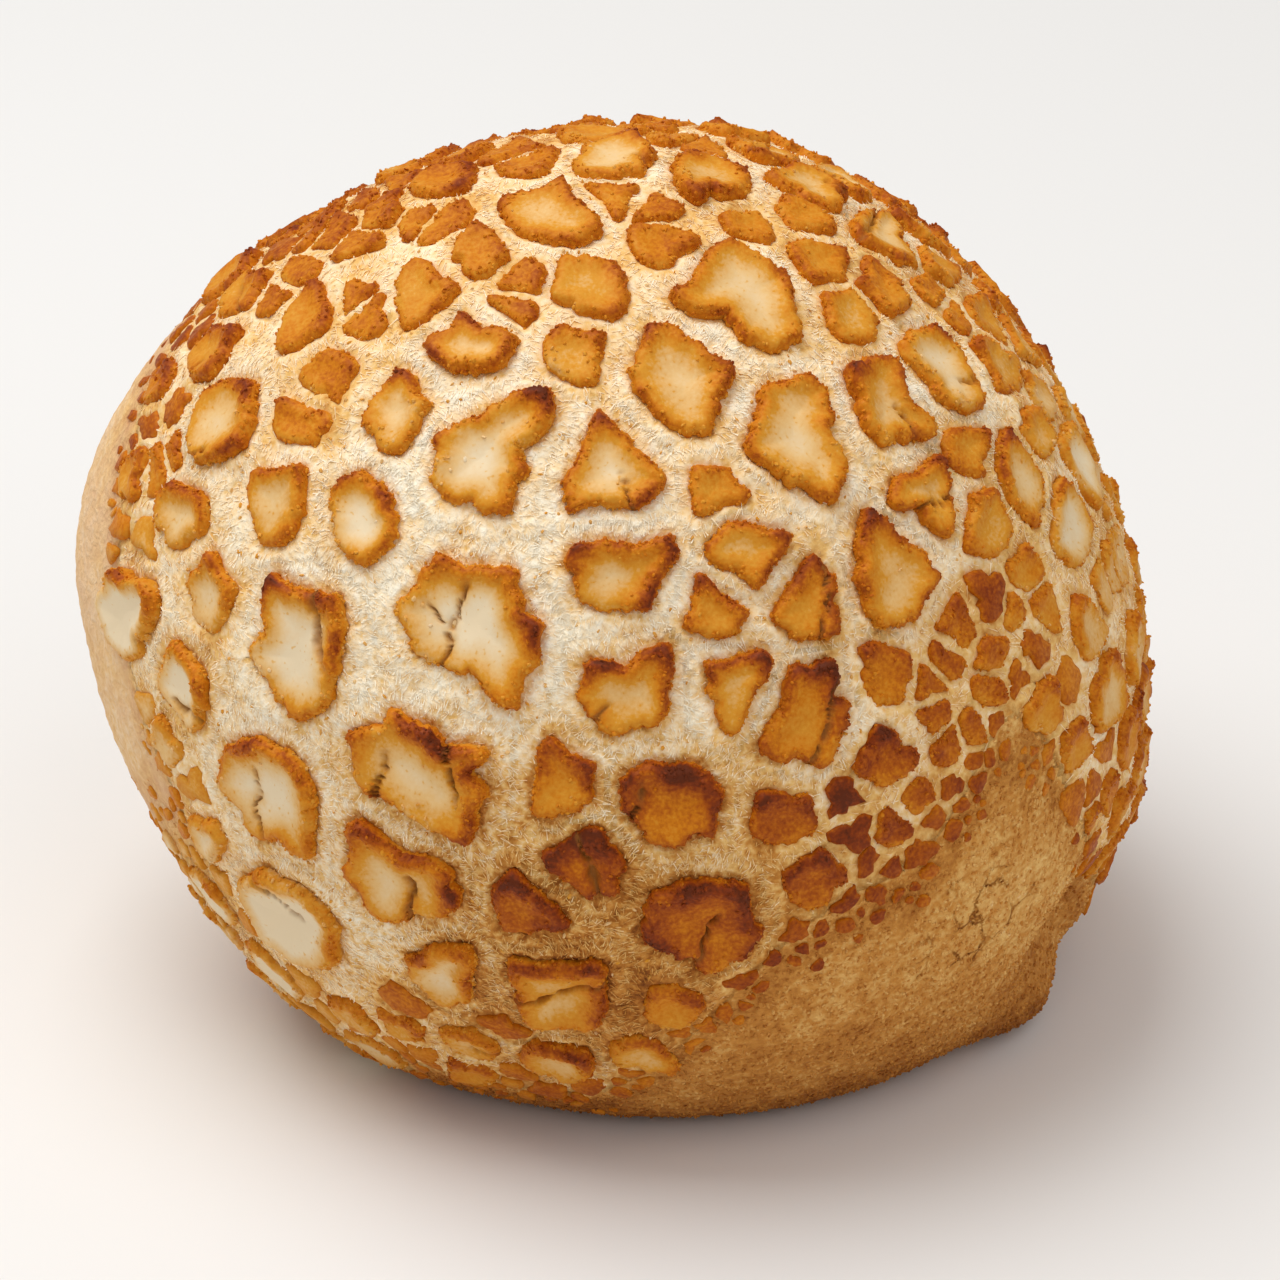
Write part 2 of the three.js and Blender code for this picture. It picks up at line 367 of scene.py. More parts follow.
@dataclass(frozen=True)
class DoughForm:
    """The leaning ovoid of dough, settled on its base."""

    long_radius: float = 56.0
    deep_radius: float = 53.5
    short_radius: float = 50.5
    lean: float = 45.0
    middle_height: float = 40.0
    base_rounding: float = 3.0
    paste_latitude: float = -40.0
    mm_per_degree: float = 0.92
    swells: tuple[Swell, ...] = (
        Swell(-150, 40, 26, -7.5),
        Swell(-92, 8, 20, 5),
        Swell(-62, -38, 20, 2.5),
        Swell(120, 15, 25, -3.5),
        Swell(67, -38, 6, 4),
        Swell(63, -27, 5, -3.5),
    )
    tongues: tuple[Tongue, ...] = (
        Tongue(30, 34, 26, 44, 3),
        Tongue(45, 15, 10, 9, 2),
        Tongue(-110, 76, 50, 53, 3.8),
    )
    skirt: tuple[float, float, float, float] = (-54.0, -36.0, 20.0, 24.0)
    skirt_depth: float = 14.0
    waist: Swell = Swell(76, -29, 7, -3.2)

    def radius(self, towards: Array) -> Array:
        """Distance of the dough's surface from its middle.

        Args:
            towards: Unit vectors from the middle.

        Returns:
            Millimetres.
        """
        along = towards @ direction(90, -self.lean) / self.long_radius
        across = towards @ direction(90, 90 - self.lean) / self.short_radius
        result = 1 / np.sqrt(along**2 + (towards[..., 1] / self.deep_radius) ** 2 + across**2)
        for swell in self.swells:
            result = result + swell.at(towards)
        return result

    def points(self, towards: Array, lift: Array | float = 0.0) -> Array:
        """Places on the dough, or lifted off it.

        Args:
            towards: Unit vectors from the middle.
            lift: Millimetres above the dough.

        Returns:
            Places that rest on or above the base.
        """
        result = towards * (self.radius(towards) + lift)[..., None]
        height = result[..., 2] + self.middle_height
        rounding = self.base_rounding
        soft = (np.clip(height, -rounding, rounding) + rounding) ** 2 / (4 * rounding)
        result[..., 2] = np.where(height > rounding, height, soft)
        return result

    def above_paste_line(self, towards: Array) -> Array:
        """Height of places over the edge of the paste.

        Args:
            towards: Unit vectors to the places.

        Returns:
            Millimetres; below zero the crust is bare.
        """
        longitude = longitude_of(towards)
        line = np.full(longitude.shape, self.paste_latitude)
        for tongue in self.tongues:
            line += tongue.at(longitude)
        return (latitude_of(towards) - line) * self.mm_per_degree

    def inside_paste(self, towards: Array) -> Array:
        """Depth of places inside the paste, with the thin skirt that ran down at the lower left.

        Args:
            towards: Unit vectors to the places.

        Returns:
            Millimetres, below zero outside.
        """
        longitude, latitude, wide, high = self.skirt
        east = (longitude_of(towards) - longitude) / wide
        north = (latitude_of(towards) - latitude) / high
        return np.maximum(self.above_paste_line(towards), (1 - np.hypot(east, north)) * self.skirt_depth)


@dataclass
class Cells:
    """Plates and flakes of crust, one row for each."""

    towards: Array
    widths: Array
    reaches: Array
    turns: Array
    thickness: Array

    def row(self, cell: int) -> tuple[Array | float, ...]:
        """Values of one cell."""
        return tuple(column[cell] for column in vars(self).values())

    def joined(self, other: Cells) -> Cells:
        """These cells followed by others."""
        mine, theirs = vars(self), vars(other)
        return Cells(**{key: np.concatenate([mine[key], theirs[key]]) for key in mine})


@dataclass
class Rims:
    """Where dough lies beside the nearest rim of crust.

    Holds the nearest cell, the gap to its rim (below zero inside), the bearing and distance from that cell's
    middle, and the direction away from its rim.
    """

    cell: Array
    gap: Array
    angle: Array
    away: Array
    pull: Array


@dataclass
class Crackle:
    """How the rice paste cracked into plates, and into flakes along its edge."""

    form: DoughForm
    crown: Triple = (-25.0, 12.0, 38.0)
    crown_width: float = 10.0
    side_width: float = 6.2
    edge_width: float = 3.4
    edge_growth: float = 0.34
    uneven_width: float = 0.5
    smallest_plate: float = 5.3
    main_growth: float = 1.12
    plate_growth: float = 1.35
    plate_thickness: float = 1.3
    skirt_growth: float = 1.5
    skirt_thickness: Pair = (0.45, 0.25)
    flake_growth: float = 1.8
    flake_band: Pair = (-6.0, 15.0)
    flake_widths: Pair = (0.8, 5.6)
    uneven_thickness: float = 0.5
    crack_share: float = 0.26
    crack_less: float = 0.5
    crowding: float = 0.86
    tries: int = 24000
    flake_tries: int = 120000
    most_cells: int = 4000
    angles: int = 256
    rim_every: int = 3
    squareness: float = 9.0
    two_lobes: float = 0.13
    three_lobes: float = 0.09
    front: Pair = (-30.0, 8.0)
    waves: Ripple = Ripple(0.11, 4.0, 1)
    jags: Ripples = (Ripple(0.45, 1.9, 2), Ripple(0.38, 0.9, 3), Ripple(0.34, 0.45, 9))
    crumbling: Ripple = Ripple(0.22, 0.9, 44)
    tone_patches: Ripples = (Ripple(0.12, 22.0, 4), Ripple(0.14, 6.0, 5))
    # How likely plates are to be broken: longitude, latitude, spread and chance
    least_broken: float = 0.12
    broken: Spots = (
        (-90, 55, 34, 0.95), (20, 2, 13, 0.3), (44, 16, 15, 0.6), (150, 20, 40, 0.5), (80, 10, 20, 0.4),
    )
    # Where the paste baked browner or, below zero, paler: longitude, latitude, spread and amount; the spot at
    # longitude -27 and latitude -4 is painted shade on the lower left
    darker: Spots = (
        (4, -5, 13, 0.43), (-9, -6, 11, 0.4), (2, 9, 9, 0.16), (16, 18, 14, 0.16), (22, 1, 14, 0.24),
        (40, 12, 10, 0.12), (36, 24, 14, 0.08), (26, 46, 20, 0.06), (-45, 25, 18, -0.11), (-80, 52, 26, 0.11),
        (-52, -10, 26, -0.17), (-60, -30, 16, -0.38), (-68, 8, 12, -0.2), (-27, -4, 12, 0.13),
        (-15, 30, 24, -0.06), (72, 17, 16, -0.1), (88, 18, 22, -0.26), (150, 25, 30, 0.16),
    )
    # Charred corners of the main plates: number of the plate, angle on its face and strength
    spurs: tuple[tuple[int, float, float], ...] = (
        (0, 60, 1.0), (0, 180, 0.35), (0, 295, 0.4), (1, 98, 0.8), (1, 207, 0.45), (1, -3, 0.35),
        (2, 119, 0.75), (2, 11, 0.8), (2, -51, 0.6), (3, 129, 0.75), (3, 67, 0.4), (3, -86, 0.3),
        (4, 167, 0.5), (4, 80, 0.4), (4, -54, 0.6), (5, 117, 0.4), (5, -63, 0.4),
        (6, 129, 0.7), (6, -9, 0.7), (6, 190, 0.2), (7, 110, 0.3), (7, -30, 0.3),
        (13, 153, 0.8), (13, 20, 0.8), (13, -49, 0.75),
    )
    # The most prominent plates: longitude, latitude and width
    main_plates: tuple[Triple, ...] = (
        (-20, 43, 15), (-4.5, 41, 13), (-19, 24.5, 16.5), (-38.5, 18, 13.5), (-22.5, 9.5, 17), (-42, 1, 14.5),
        (-25.5, -3, 14), (-42, -15, 15), (-9, -16.5, 12.5), (-21.5, -16, 10), (7, -6.5, 12.5), (3, 8, 10.5),
        (18, 15.5, 11), (-2, 32, 12), (-1, 20, 10.5), (24, 46, 12), (8.5, 51.5, 12), (41, 45, 10.5),
        (24, 61, 13), (57, 46, 10), (32, 28, 9.5), (-29, 52, 9.5), (-34.5, 45, 9), (-66, 12, 11),
        (-34.5, 33, 8.5), (11, 19.5, 8), (20, 27, 7.5), (9, 28, 7.5), (13, 32.5, 8), (41, 35, 8),
        (-47, 31, 7.5), (-61, 25, 7.5), (-5, 1, 8.5),
    )

    def __post_init__(self) -> None:
        """Scatters the plates and flakes and draws their outlines."""
        plates = self._broken_up(self._plates())
        plates = plates.joined(self._skirt_plates(plates))
        self.plate_count = len(plates.widths)
        self.cells = plates.joined(self._flakes(plates))
        self.middles = self.form.points(self.cells.towards)
        self.radii = self.form.radius(self.cells.towards)
        self.first, self.second = axes_at(self.cells.towards)
        self.tones = ripples_at(self.middles, self.tone_patches)
        # Tones add the spots of browning and paling, and the painted shade on the lower left
        self.tones += spot_amounts(self.cells.towards, self.darker).sum(axis=0)
        self.corners: list[list[Pair]] = []
        self.outlines = self._outlines()
        self._tree = self._rim_tree()

    def crack_between(self, one: Array | float, other: Array | float) -> Array:
        """Width of the crack between two cells of these widths."""
        narrowest = np.where(np.minimum(one, other) < 4.5, 0.45, 0.5)
        return np.maximum(narrowest, self.crack_share * (one + other) / 2 - self.crack_less)

    def _width_at(self, towards: Array, margin: Array) -> Array:
        """Width that plates have in some places.

        Args:
            towards: Unit vectors to the places.
            margin: Millimetres above the paste's edge.

        Returns:
            Millimetres.
        """
        longitude, latitude, spread = self.crown
        share = fade(degrees_between(towards, direction(longitude, latitude)) / spread)
        width = self.side_width + (self.crown_width - self.side_width) * share
        return np.minimum(width, self.edge_width + self.edge_growth * margin)

    def _fill(self, towards: Array, widths: Array, taken: Array, taken_widths: Array) -> list[int]:
        """Picks the candidates that have room, in order.

        Args:
            towards: Unit vectors to the candidates.
            widths: Their widths.
            taken: Unit vectors to the cells that are there already.
            taken_widths: Widths of those.

        Returns:
            Numbers of the candidates that fit.
        """
        spots = np.concatenate([self.form.points(taken), np.empty((self.most_cells, 3))])
        sizes = np.concatenate([taken_widths, np.empty(self.most_cells)])
        count = len(taken)
        picked = []
        for number, (point, width) in enumerate(zip(self.form.points(towards), widths)):
            room = (sizes[:count] + width) / 2 + self.crack_between(sizes[:count], width)
            if np.all(np.sum((spots[:count] - point) ** 2, axis=1) > (room * self.crowding) ** 2):
                spots[count], sizes[count] = point, width
                count += 1
                picked.append(number)
        return picked

    def _plates(self) -> Cells:
        """Sets the main plates, then plates wherever one fits.

        Returns:
            The plates, the main ones first.
        """
        main = np.array(self.main_plates)
        towards = direction(main[:, 0], main[:, 1])
        drawn = draws(Seed.PLATES, self.tries, 3)
        tried = spread_evenly(drawn)
        margin = self.form.above_paste_line(tried)
        widths = self._width_at(tried, margin) * (1 + self.uneven_width * (drawn[:, 2] - 0.5))
        good = (margin >= 0) & (widths >= self.smallest_plate)
        tried, widths = tried[good], widths[good]
        picked = self._fill(tried, widths, towards, main[:, 2])
        towards = np.concatenate([towards, tried[picked]])
        widths = np.concatenate([main[:, 2], widths[picked]])
        growth = np.where(np.arange(len(widths)) < len(main), self.main_growth, self.plate_growth)
        shape = draws(Seed.PLATE_SHAPES, len(widths), 4)
        thickness = self.plate_thickness * (1 + self.uneven_thickness * (shape[:, 3] - 0.5))
        return Cells(towards, widths, widths / 2 * growth, shape[:, :3] * TURN, thickness)

    def _broken_up(self, plates: Cells) -> Cells:
        """Breaks plates where the crust is shattered, but none of the main ones.

        Args:
            plates: The plates.

        Returns:
            Plates and fragments, with the main plates first.
        """
        rows = []
        chance = np.maximum(self.least_broken, spot_amounts(plates.towards, self.broken).max(axis=0))
        for cell in range(len(plates.widths)):
            drawn = draws(Seed.BREAKS + cell, 8)
            if cell < len(self.main_plates) or drawn[0] > chance[cell]:
                rows.append(plates.row(cell))
            else:
                rows.extend(self._fragments(plates.row(cell), drawn))
        return Cells(*(np.array(column) for column in zip(*rows)))

    def _fragments(self, plate: tuple[Array | float, ...], drawn: Array) -> list[tuple[Array | float, ...]]:
        """Breaks a plate into two or, if it is wide, three fragments.

        Args:
            plate: Row of the plate.
            drawn: Draws for it.

        Returns:
            A row for each fragment.
        """
        toward, width, _, turns, thickness = plate
        three = width > 6.3 and drawn[1] < 0.4
        count, step, share = (3, 0.3, 0.48) if three else (2, 0.27, 0.6)
        first, second = axes_at(toward)
        thinner = thickness * (0.45 + 0.2 * drawn[6])
        rows = []
        for piece in range(count):
            turn = TURN * (drawn[2] + piece / count)
            across = width * step * (math.cos(turn) * first + math.sin(turn) * second)
            own = width * share * (0.85 + 0.3 * drawn[3 + piece])
            moved = unit(toward * float(self.form.radius(toward)) + across)
            rows.append((moved, own, own * 0.95, turns + 2.1 * piece, thinner))
        return rows

    def _skirt_plates(self, plates: Cells) -> Cells:
        """Sets thin pale plates on the skirt of paste, between those that are there.

        Args:
            plates: Plates that are there.

        Returns:
            The new plates.
        """
        drawn = draws(Seed.SKIRT, self.tries, 3)
        tried = spread_evenly(drawn)
        margin = self.form.inside_paste(tried)
        good = (margin > 1.5) & (margin > self.form.above_paste_line(tried) + 1.0)
        tried = tried[good]
        widths = np.minimum(7.0 + 4.5 * drawn[good, 2], 4.5 + 0.7 * margin[good])
        picked = self._fill(tried, widths, plates.towards, plates.widths)
        tried, widths = tried[picked], widths[picked]
        shape = draws(Seed.SKIRT_SHAPES, len(widths), 4)
        thin, more = self.skirt_thickness
        thickness = thin + more * shape[:, 3]
        return Cells(tried, widths, widths / 2 * self.skirt_growth, shape[:, :3] * TURN, thickness)

    def _flakes(self, plates: Cells) -> Cells:
        """Sets small flakes along the paste's edge, where no plate has room.

        Args:
            plates: Plates that are there.

        Returns:
            The flakes.
        """
        drawn = draws(Seed.FLAKES, self.flake_tries, 4)
        tried = spread_evenly(drawn)
        margin = self.form.inside_paste(tried)
        low, high = self.flake_band
        widths = np.clip(2.0 + 0.42 * margin, *self.flake_widths) * (0.62 + 0.76 * drawn[:, 2])
        good = (margin > low) & (margin < high)
        good &= drawn[:, 3] < 0.35 + 0.65 * smooth(low, 2.0, margin)
        good &= self.form.points(tried)[:, 2] > 1.0
        good &= (margin > 0.0) | (self.form.waist.off(tried) > 2.6)
        tried, widths = tried[good], widths[good]
        picked = np.array(self._fill(tried, widths, plates.towards, plates.widths))
        # Fewer stay the further they lie outside the paste
        chance = 0.08 + 0.92 * smooth(-6.5, 4.0, self.form.inside_paste(tried[picked]))
        picked = picked[draws(Seed.FLAKES_KEPT, len(picked)) < chance]
        tried, widths = tried[picked], widths[picked]
        shape = draws(Seed.FLAKE_SHAPES, len(widths), 4)
        thickness = (0.2 + 0.1 * widths) * (1 + self.uneven_thickness * (shape[:, 3] - 0.5))
        return Cells(tried, widths, widths / 2 * self.flake_growth, shape[:, :3] * TURN, thickness)

    def across(self, cell: int, x: Array, y: Array) -> Array:
        """Unit vectors to places on a cell's face, from millimetres along its first and second directions."""
        middle = self.cells.towards[cell] * self.radii[cell]
        return unit(middle + x[..., None] * self.first[cell] + y[..., None] * self.second[cell])

    def rim_points(self, cell: int, angles: Array, reach: Array) -> Array:
        """Places on the dough around a cell, at some angles and distances from its middle."""
        return self.form.points(self.across(cell, np.cos(angles) * reach, np.sin(angles) * reach))

    def reach_at(self, cell: int, angles: Array | float) -> Array:
        """How far a cell reaches.

        Args:
            cell: Number of the cell.
            angles: Angles on its face, in radians.

        Returns:
            Millimetres at each angle.
        """
        outline = self.outlines[cell]
        table = np.linspace(0, TURN, len(outline) + 1)
        return np.interp(angles % TURN, table, np.append(outline, outline[0]))

    def _outlines(self) -> Array:
        """Draws the outlines of all cells.

        Returns:
            A row for each cell, with how far it reaches at even angles.
        """
        angles = even_angles(self.angles)
        away = degrees_between(self.cells.towards, direction(*self.front))
        grown = 0.91 + 0.07 * smooth(25, 60, away)
        grown[self.plate_count :] = 1.0
        result = np.empty((len(away), self.angles))
        for cell, width in enumerate(self.cells.widths):
            reach = self._room(cell, angles) * grown[cell]
            self.corners.append(self._corners(cell, angles, reach))
            ragged = self._ragged(cell, angles, reach)
            inset = 0.1 + 0.16 * (1 - smooth(4.0, 7.0, width)) * smooth(1.0, 2.5, width)
            result[cell] = np.clip(reach - inset + ragged, 0.5 * reach, 1.35 * reach)
        return result

    def _room(self, cell: int, angles: Array) -> Array:
        """How far a cell can spread: lobed, and held off by its neighbours.

        Args:
            cell: Number of the cell.
            angles: Even angles around it.

        Returns:
            Millimetres at each angle.
        """
        cells, width, turns = self.cells, self.cells.widths[cell], self.cells.turns[cell]
        step = self.middles - self.middles[cell]
        apart = np.linalg.norm(step, axis=1)
        near = np.flatnonzero((apart > 0) & (apart < 1.2 * (width + cells.widths)))
        lobes = 1 + self.two_lobes * np.sin(2 * angles + turns[0])
        lobes += self.three_lobes * np.sin(3 * angles + turns[1])
        total = (cells.reaches[cell] * lobes) ** -self.squareness
        bearing = np.arctan2(step[near] @ self.second[cell], step[near] @ self.first[cell])
        facing = np.maximum(np.cos(angles[:, None] - bearing), 0)
        crack = self.crack_between(width, cells.widths[near])
        shared = (apart[near] + (width - cells.widths[near]) / 2 - crack) / 2
        total += np.sum((facing / np.maximum(shared, 0.5)) ** self.squareness, axis=1)
        return total ** (-1 / self.squareness)

    def _ragged(self, cell: int, angles: Array, reach: Array) -> Array:
        """How far the rim of a cell stands in or out: jags, corners and notches.

        Args:
            cell: Number of the cell.
            angles: Even angles around it.
            reach: How far it reaches at each.

        Returns:
            Millimetres at each angle.
        """
        width = self.cells.widths[cell]
        rim = self.rim_points(cell, angles, reach)
        ragged = width * self.waves.at(rim) + min(1.0, width / 9) * ripples_at(rim, self.jags)
        if cell >= self.plate_count:
            ragged += width * self.crumbling.at(rim)
        for corner, strength in self.corners[cell]:
            off = turn_between(angles, corner) * reach
            ragged += (0.02 + 0.075 * strength) * width * fade(off / (0.45 + 0.045 * width), 1.5)
        for notch, depth in draws(Seed.NOTCHES + cell, 2, 2):
            off = turn_between(angles, TURN * notch) * reach
            ragged -= 0.3 * depth**2 * reach * fade(off / (0.35 + 0.05 * width))
        return ragged

    def _corners(self, cell: int, angles: Array, reach: Array) -> list[Pair]:
        """Corners that stand out from an outline.

        Args:
            cell: Number of the cell.
            angles: Even angles around it.
            reach: How far it reaches at each.

        Returns:
            Angle and strength of each corner.
        """
        seen = [(math.radians(angle), strength) for number, angle, strength in self.spurs if number == cell]
        if seen:
            return seen
        drawn = draws(Seed.CORNERS + cell, 4)
        upward = np.cos(angles) * self.first[cell][2] + np.sin(angles) * self.second[cell][2]
        score = reach / reach.mean() + 0.25 * upward
        found = []
        for strength in (0.25 + 0.6 * drawn[0], 0.6 * drawn[1], 0.5 * drawn[2]):
            best = int(np.argmax(score))
            found.append((float(angles[best]), float(strength)))
            score = np.where(np.cos(angles - angles[best]) > 0.3, -1, score)
        return found

    def _rim_tree(self) -> kdtree.KDTree:
        """Gathers points on all rims, to find the nearest of them.

        Returns:
            The tree of points.
        """
        angles = even_angles(self.angles)[:: self.rim_every]
        self._rim_angles = len(angles)
        tree = kdtree.KDTree(len(self.radii) * self._rim_angles)
        for cell, outline in enumerate(self.outlines):
            rim = self.rim_points(cell, angles, outline[:: self.rim_every])
            for number, point in enumerate(rim.tolist()):
                tree.insert(point, cell * self._rim_angles + number)
        tree.balance()
        return tree

    def rims(self, towards: Array) -> Rims:
        """Finds the nearest rim of crust for places on the dough.

        Args:
            towards: Unit vectors to the places.

        Returns:
            How each place lies beside its nearest rim.
        """
        points = self.form.points(towards)
        found = [self._tree.find(point) for point in points.tolist()]
        cell = np.array([number for _, number, _ in found]) // self._rim_angles
        rim = np.array([tuple(spot) for spot, _, _ in found])
        distance = np.array([length for _, _, length in found])
        scale = self.radii[cell] / np.maximum(np.sum(towards * self.cells.towards[cell], axis=1), 0.2)
        x = np.sum(towards * self.first[cell], axis=1) * scale
        y = np.sum(towards * self.second[cell], axis=1) * scale
        angle = np.arctan2(y, x) % TURN
        away = np.hypot(x, y)
        reach = self.outlines[cell, (angle / TURN * self.angles).astype(int) % self.angles]
        gap = np.where(away < reach, -distance, distance)
        pull = points - rim
        pull -= np.sum(pull * towards, axis=1, keepdims=True) * towards
        return Rims(cell, gap, angle, away, unit(pull))


# Finishes


@dataclass(frozen=True)
class BakedFinish(ABC):
    """A finish that browns with the bake of its points and mixes in a second colour by another value."""

    name: str
    stops: Stops
    second: str
    second_by: str
    roughness: float
    shine: float
    tooth: float
    tooth_depth: float

    @abstractmethod
    def _surface(self, add: AddNode, spot: Socket) -> tuple[Socket, Socket, Socket | float]:
        """Adds the nodes of this surface.

        Args:
            add: Adds a node to the material.
            spot: Object coordinates.

        Returns:
            The bake that is shown, the height of the relief and the roughness.
        """

    def material(self) -> Finish:
        """Builds the material.

        Returns:
            The material.
        """
        material = bpy.data.materials.new(self.name)
        material.use_nodes = True
        tree = material.node_tree
        add = partial(add_node, tree)
        shown, height, rough = self._surface(add, add("ShaderNodeTexCoord", {}, "Object"))
        ramp = add("ShaderNodeValToRGB", {"Fac": shown})
        elements = ramp.node.color_ramp.elements
        while len(elements) < len(self.stops):
            elements.new(1.0)
        for element, (position, colour) in zip(elements, self.stops):
            element.position = position
            element.color = linear(colour)
        share = add(ATTRIBUTE, {"attribute_name": self.second_by}, "Fac")
        colour = add("ShaderNodeMix", {"data_type": "RGBA", 0: share, 6: ramp, 7: linear(self.second)}, 2)
        relief = {"Strength": self.tooth, "Distance": self.tooth_depth * MM, "Height": height}
        look = {"Base Color": colour, "Normal": add("ShaderNodeBump", relief), "Roughness": rough}
        feed(tree.nodes["Principled BSDF"], look | {"Specular IOR Level": self.shine})
        return material


@dataclass(frozen=True)
class RicePasteCrust(BakedFinish):
    """Baked rice paste: satin cream tops that turn through gold and orange to charred brown rims."""

    name: str = "baked_rice_paste"
    stops: Stops = (
        (0.0, "#E9D4B0"), (0.14, "#E3BA7C"), (0.3, "#D6932C"), (0.48, "#CB780F"), (0.66, "#AB5408"),
        (0.83, "#86360A"), (1.0, "#60270C"),
    )
    # Splits through the plates are coloured this dark brown: painted shade inside the splits
    second: str = "#A3682B"
    second_by: str = "crack"
    roughness: float = 0.48
    shine: float = 0.13
    tooth: float = 0.6
    tooth_depth: float = 0.1
    patch_size: float = 1.8
    patch_depth: float = 0.34
    grit_size: float = 0.4
    grit_depth: float = 0.46
    pore_size: float = 0.4
    pore_depth: float = 0.14

    def _surface(self, add: AddNode, spot: Socket) -> tuple[Socket, Socket, Socket | float]:
        """Adds patches, grit and pores.

        Args:
            add: Adds a node to the material.
            spot: Object coordinates.

        Returns:
            The bake that is shown, the height of the relief and the roughness.
        """
        bake = add(ATTRIBUTE, {"attribute_name": "bake"}, "Fac")
        # Patches and grit: uneven browning, and the sandy grain of dried paste
        patches, grit, holes = (
            add(NOISE, {"Scale": 1 / (size * MM), "Detail": detail, "Vector": spot})
            for size, detail in ((self.patch_size, 4.0), (self.grit_size, 2.0), (self.pore_size, 0.0))
        )
        patched, gritted = (
            add(MATHS, {"operation": "MULTIPLY_ADD", 0: value, 1: depth, 2: -depth / 2})
            for value, depth in ((patches, self.patch_depth), (grit, self.grit_depth))
        )
        uneven = add(MATHS, {0: patched, 1: gritted})
        # Grit shows where the paste browned, and pale centres stay clean
        browned = add(RANGE, {"From Min": 0.12, "From Max": 0.5, "To Min": 0.16, "Value": bake})
        shown = add(MATHS, {"operation": "MULTIPLY_ADD", 0: uneven, 1: browned, 2: bake})
        # Pores: pinholes left by steam, seen on the pale tops
        pores = {"From Min": 0.71, "From Max": 0.83, "To Max": self.pore_depth, "Value": holes}
        clean = add(RANGE, {"From Max": 0.4, "To Min": 1.0, "To Max": 0.0, "Value": bake})
        pitted = {"operation": "MULTIPLY_ADD", 0: add(RANGE, pores), 1: clean, 2: shown}
        # A fine tooth on the rims, almost none on the satin tops
        tooth = add(MATHS, {"operation": "MULTIPLY", 0: grit, 1: browned})
        dull = {"To Min": self.roughness - 0.06, "To Max": self.roughness + 0.2, "Value": grit}
        return add(MATHS, pitted), tooth, add(RANGE, dull)


@dataclass(frozen=True)
class TornCrumb(BakedFinish):
    """Dough torn open between the plates and bare crust below: floury cream fibres to matte tan."""

    name: str = "torn_crumb_and_bare_crust"
    stops: Stops = (
        (0.0, "#FFF4DC"), (0.2, "#F9DFB4"), (0.4, "#E9BB70"), (0.6, "#CB8B3E"), (0.8, "#A66423"),
        (1.0, "#703A10"),
    )
    second: str = "#E4BE9C"
    second_by: str = "blush"
    roughness: float = 0.88
    shine: float = 0.2
    tooth: float = 0.7
    tooth_depth: float = 0.6
    fibre_size: float = 0.55
    fluff_size: float = 0.75
    craze_size: float = 3.4
    craze_width: float = 0.05
    craze_depth: float = 0.3
    swirl_size: float = 1.5
    swirl_reach: float = 1.4
    contrast: float = 1.1
    lighten: float = 0.0

    def _surface(self, add: AddNode, spot: Socket) -> tuple[Socket, Socket, Socket | float]:
        """Adds fibres, fluff and crazing.

        Args:
            add: Adds a node to the material.
            spot: Object coordinates.

        Returns:
            The bake that is shown, the height of the relief and the roughness.
        """
        bake, streak, fluffy, craze, calm = (
            add(ATTRIBUTE, {"attribute_name": key}, "Fac")
            for key in ("bake", "streak", "fluffy", "craze", "calm")
        )
        fibre = add(ATTRIBUTE, {"attribute_name": "fibre"}, "Vector")
        # Fibres: light strands and deeper-toned hollows drawn out across the cracks; as the same pattern sets
        # the relief, the low hollows carry painted shade along with the crumb's own streaks
        strands = add(NOISE, {"Scale": 1 / self.fibre_size, "Detail": 3.0, "Vector": fibre})
        fluff = add(NOISE, {"Scale": 1 / (self.fluff_size * MM), "Detail": 4.0, "Vector": spot})
        drawn = add(MATHS, {"operation": "SUBTRACT", 0: strands, 1: 0.5})
        mixed = add(MATHS, {"operation": "MULTIPLY_ADD", 0: drawn, 1: streak, 2: fluff})
        # The pattern that raises the relief lightens the colour, so the hollows between fibres are painted
        # browner: painted shade
        level = 0.5 * self.contrast - self.lighten
        uneven = add(MATHS, {"operation": "MULTIPLY_ADD", 0: mixed, 1: -self.contrast, 2: level})
        tufts = add(MATHS, {"operation": "MULTIPLY", 0: uneven, 1: fluffy})
        # Crazing: fine dark cracks where the bare crust gave way, bent by a slow swirl
        swirl = add(NOISE, {"Scale": 1 / (self.swirl_size * MM), "Vector": spot}, "Color")
        reach = (self.swirl_reach * MM,) * 3
        bent = add("ShaderNodeVectorMath", {"operation": "MULTIPLY_ADD", 0: swirl, 1: reach, 2: spot})
        cells = {"feature": "DISTANCE_TO_EDGE", "Scale": 1 / (self.craze_size * MM), "Vector": bent}
        edges = add("ShaderNodeTexVoronoi", cells, "Distance")
        lines = add(RANGE, {"From Max": self.craze_width, "To Min": 1.0, "To Max": 0.0, "Value": edges})
        crazed = add(MATHS, {"operation": "MULTIPLY", 0: lines, 1: craze})
        # Crazing lines, and the fibres' tone with its painted shade in the hollows, make the crumb browner
        darker = add(MATHS, {"operation": "MULTIPLY_ADD", 0: crazed, 1: self.craze_depth, 2: tufts})
        # Relief is calmer in narrow cracks
        calmed = add(MATHS, {"operation": "MULTIPLY", 0: mixed, 1: calm})
        relief = add(MATHS, {"operation": "SUBTRACT", 0: calmed, 1: crazed})
        return add(MATHS, {0: bake, 1: darker}), relief, self.roughness


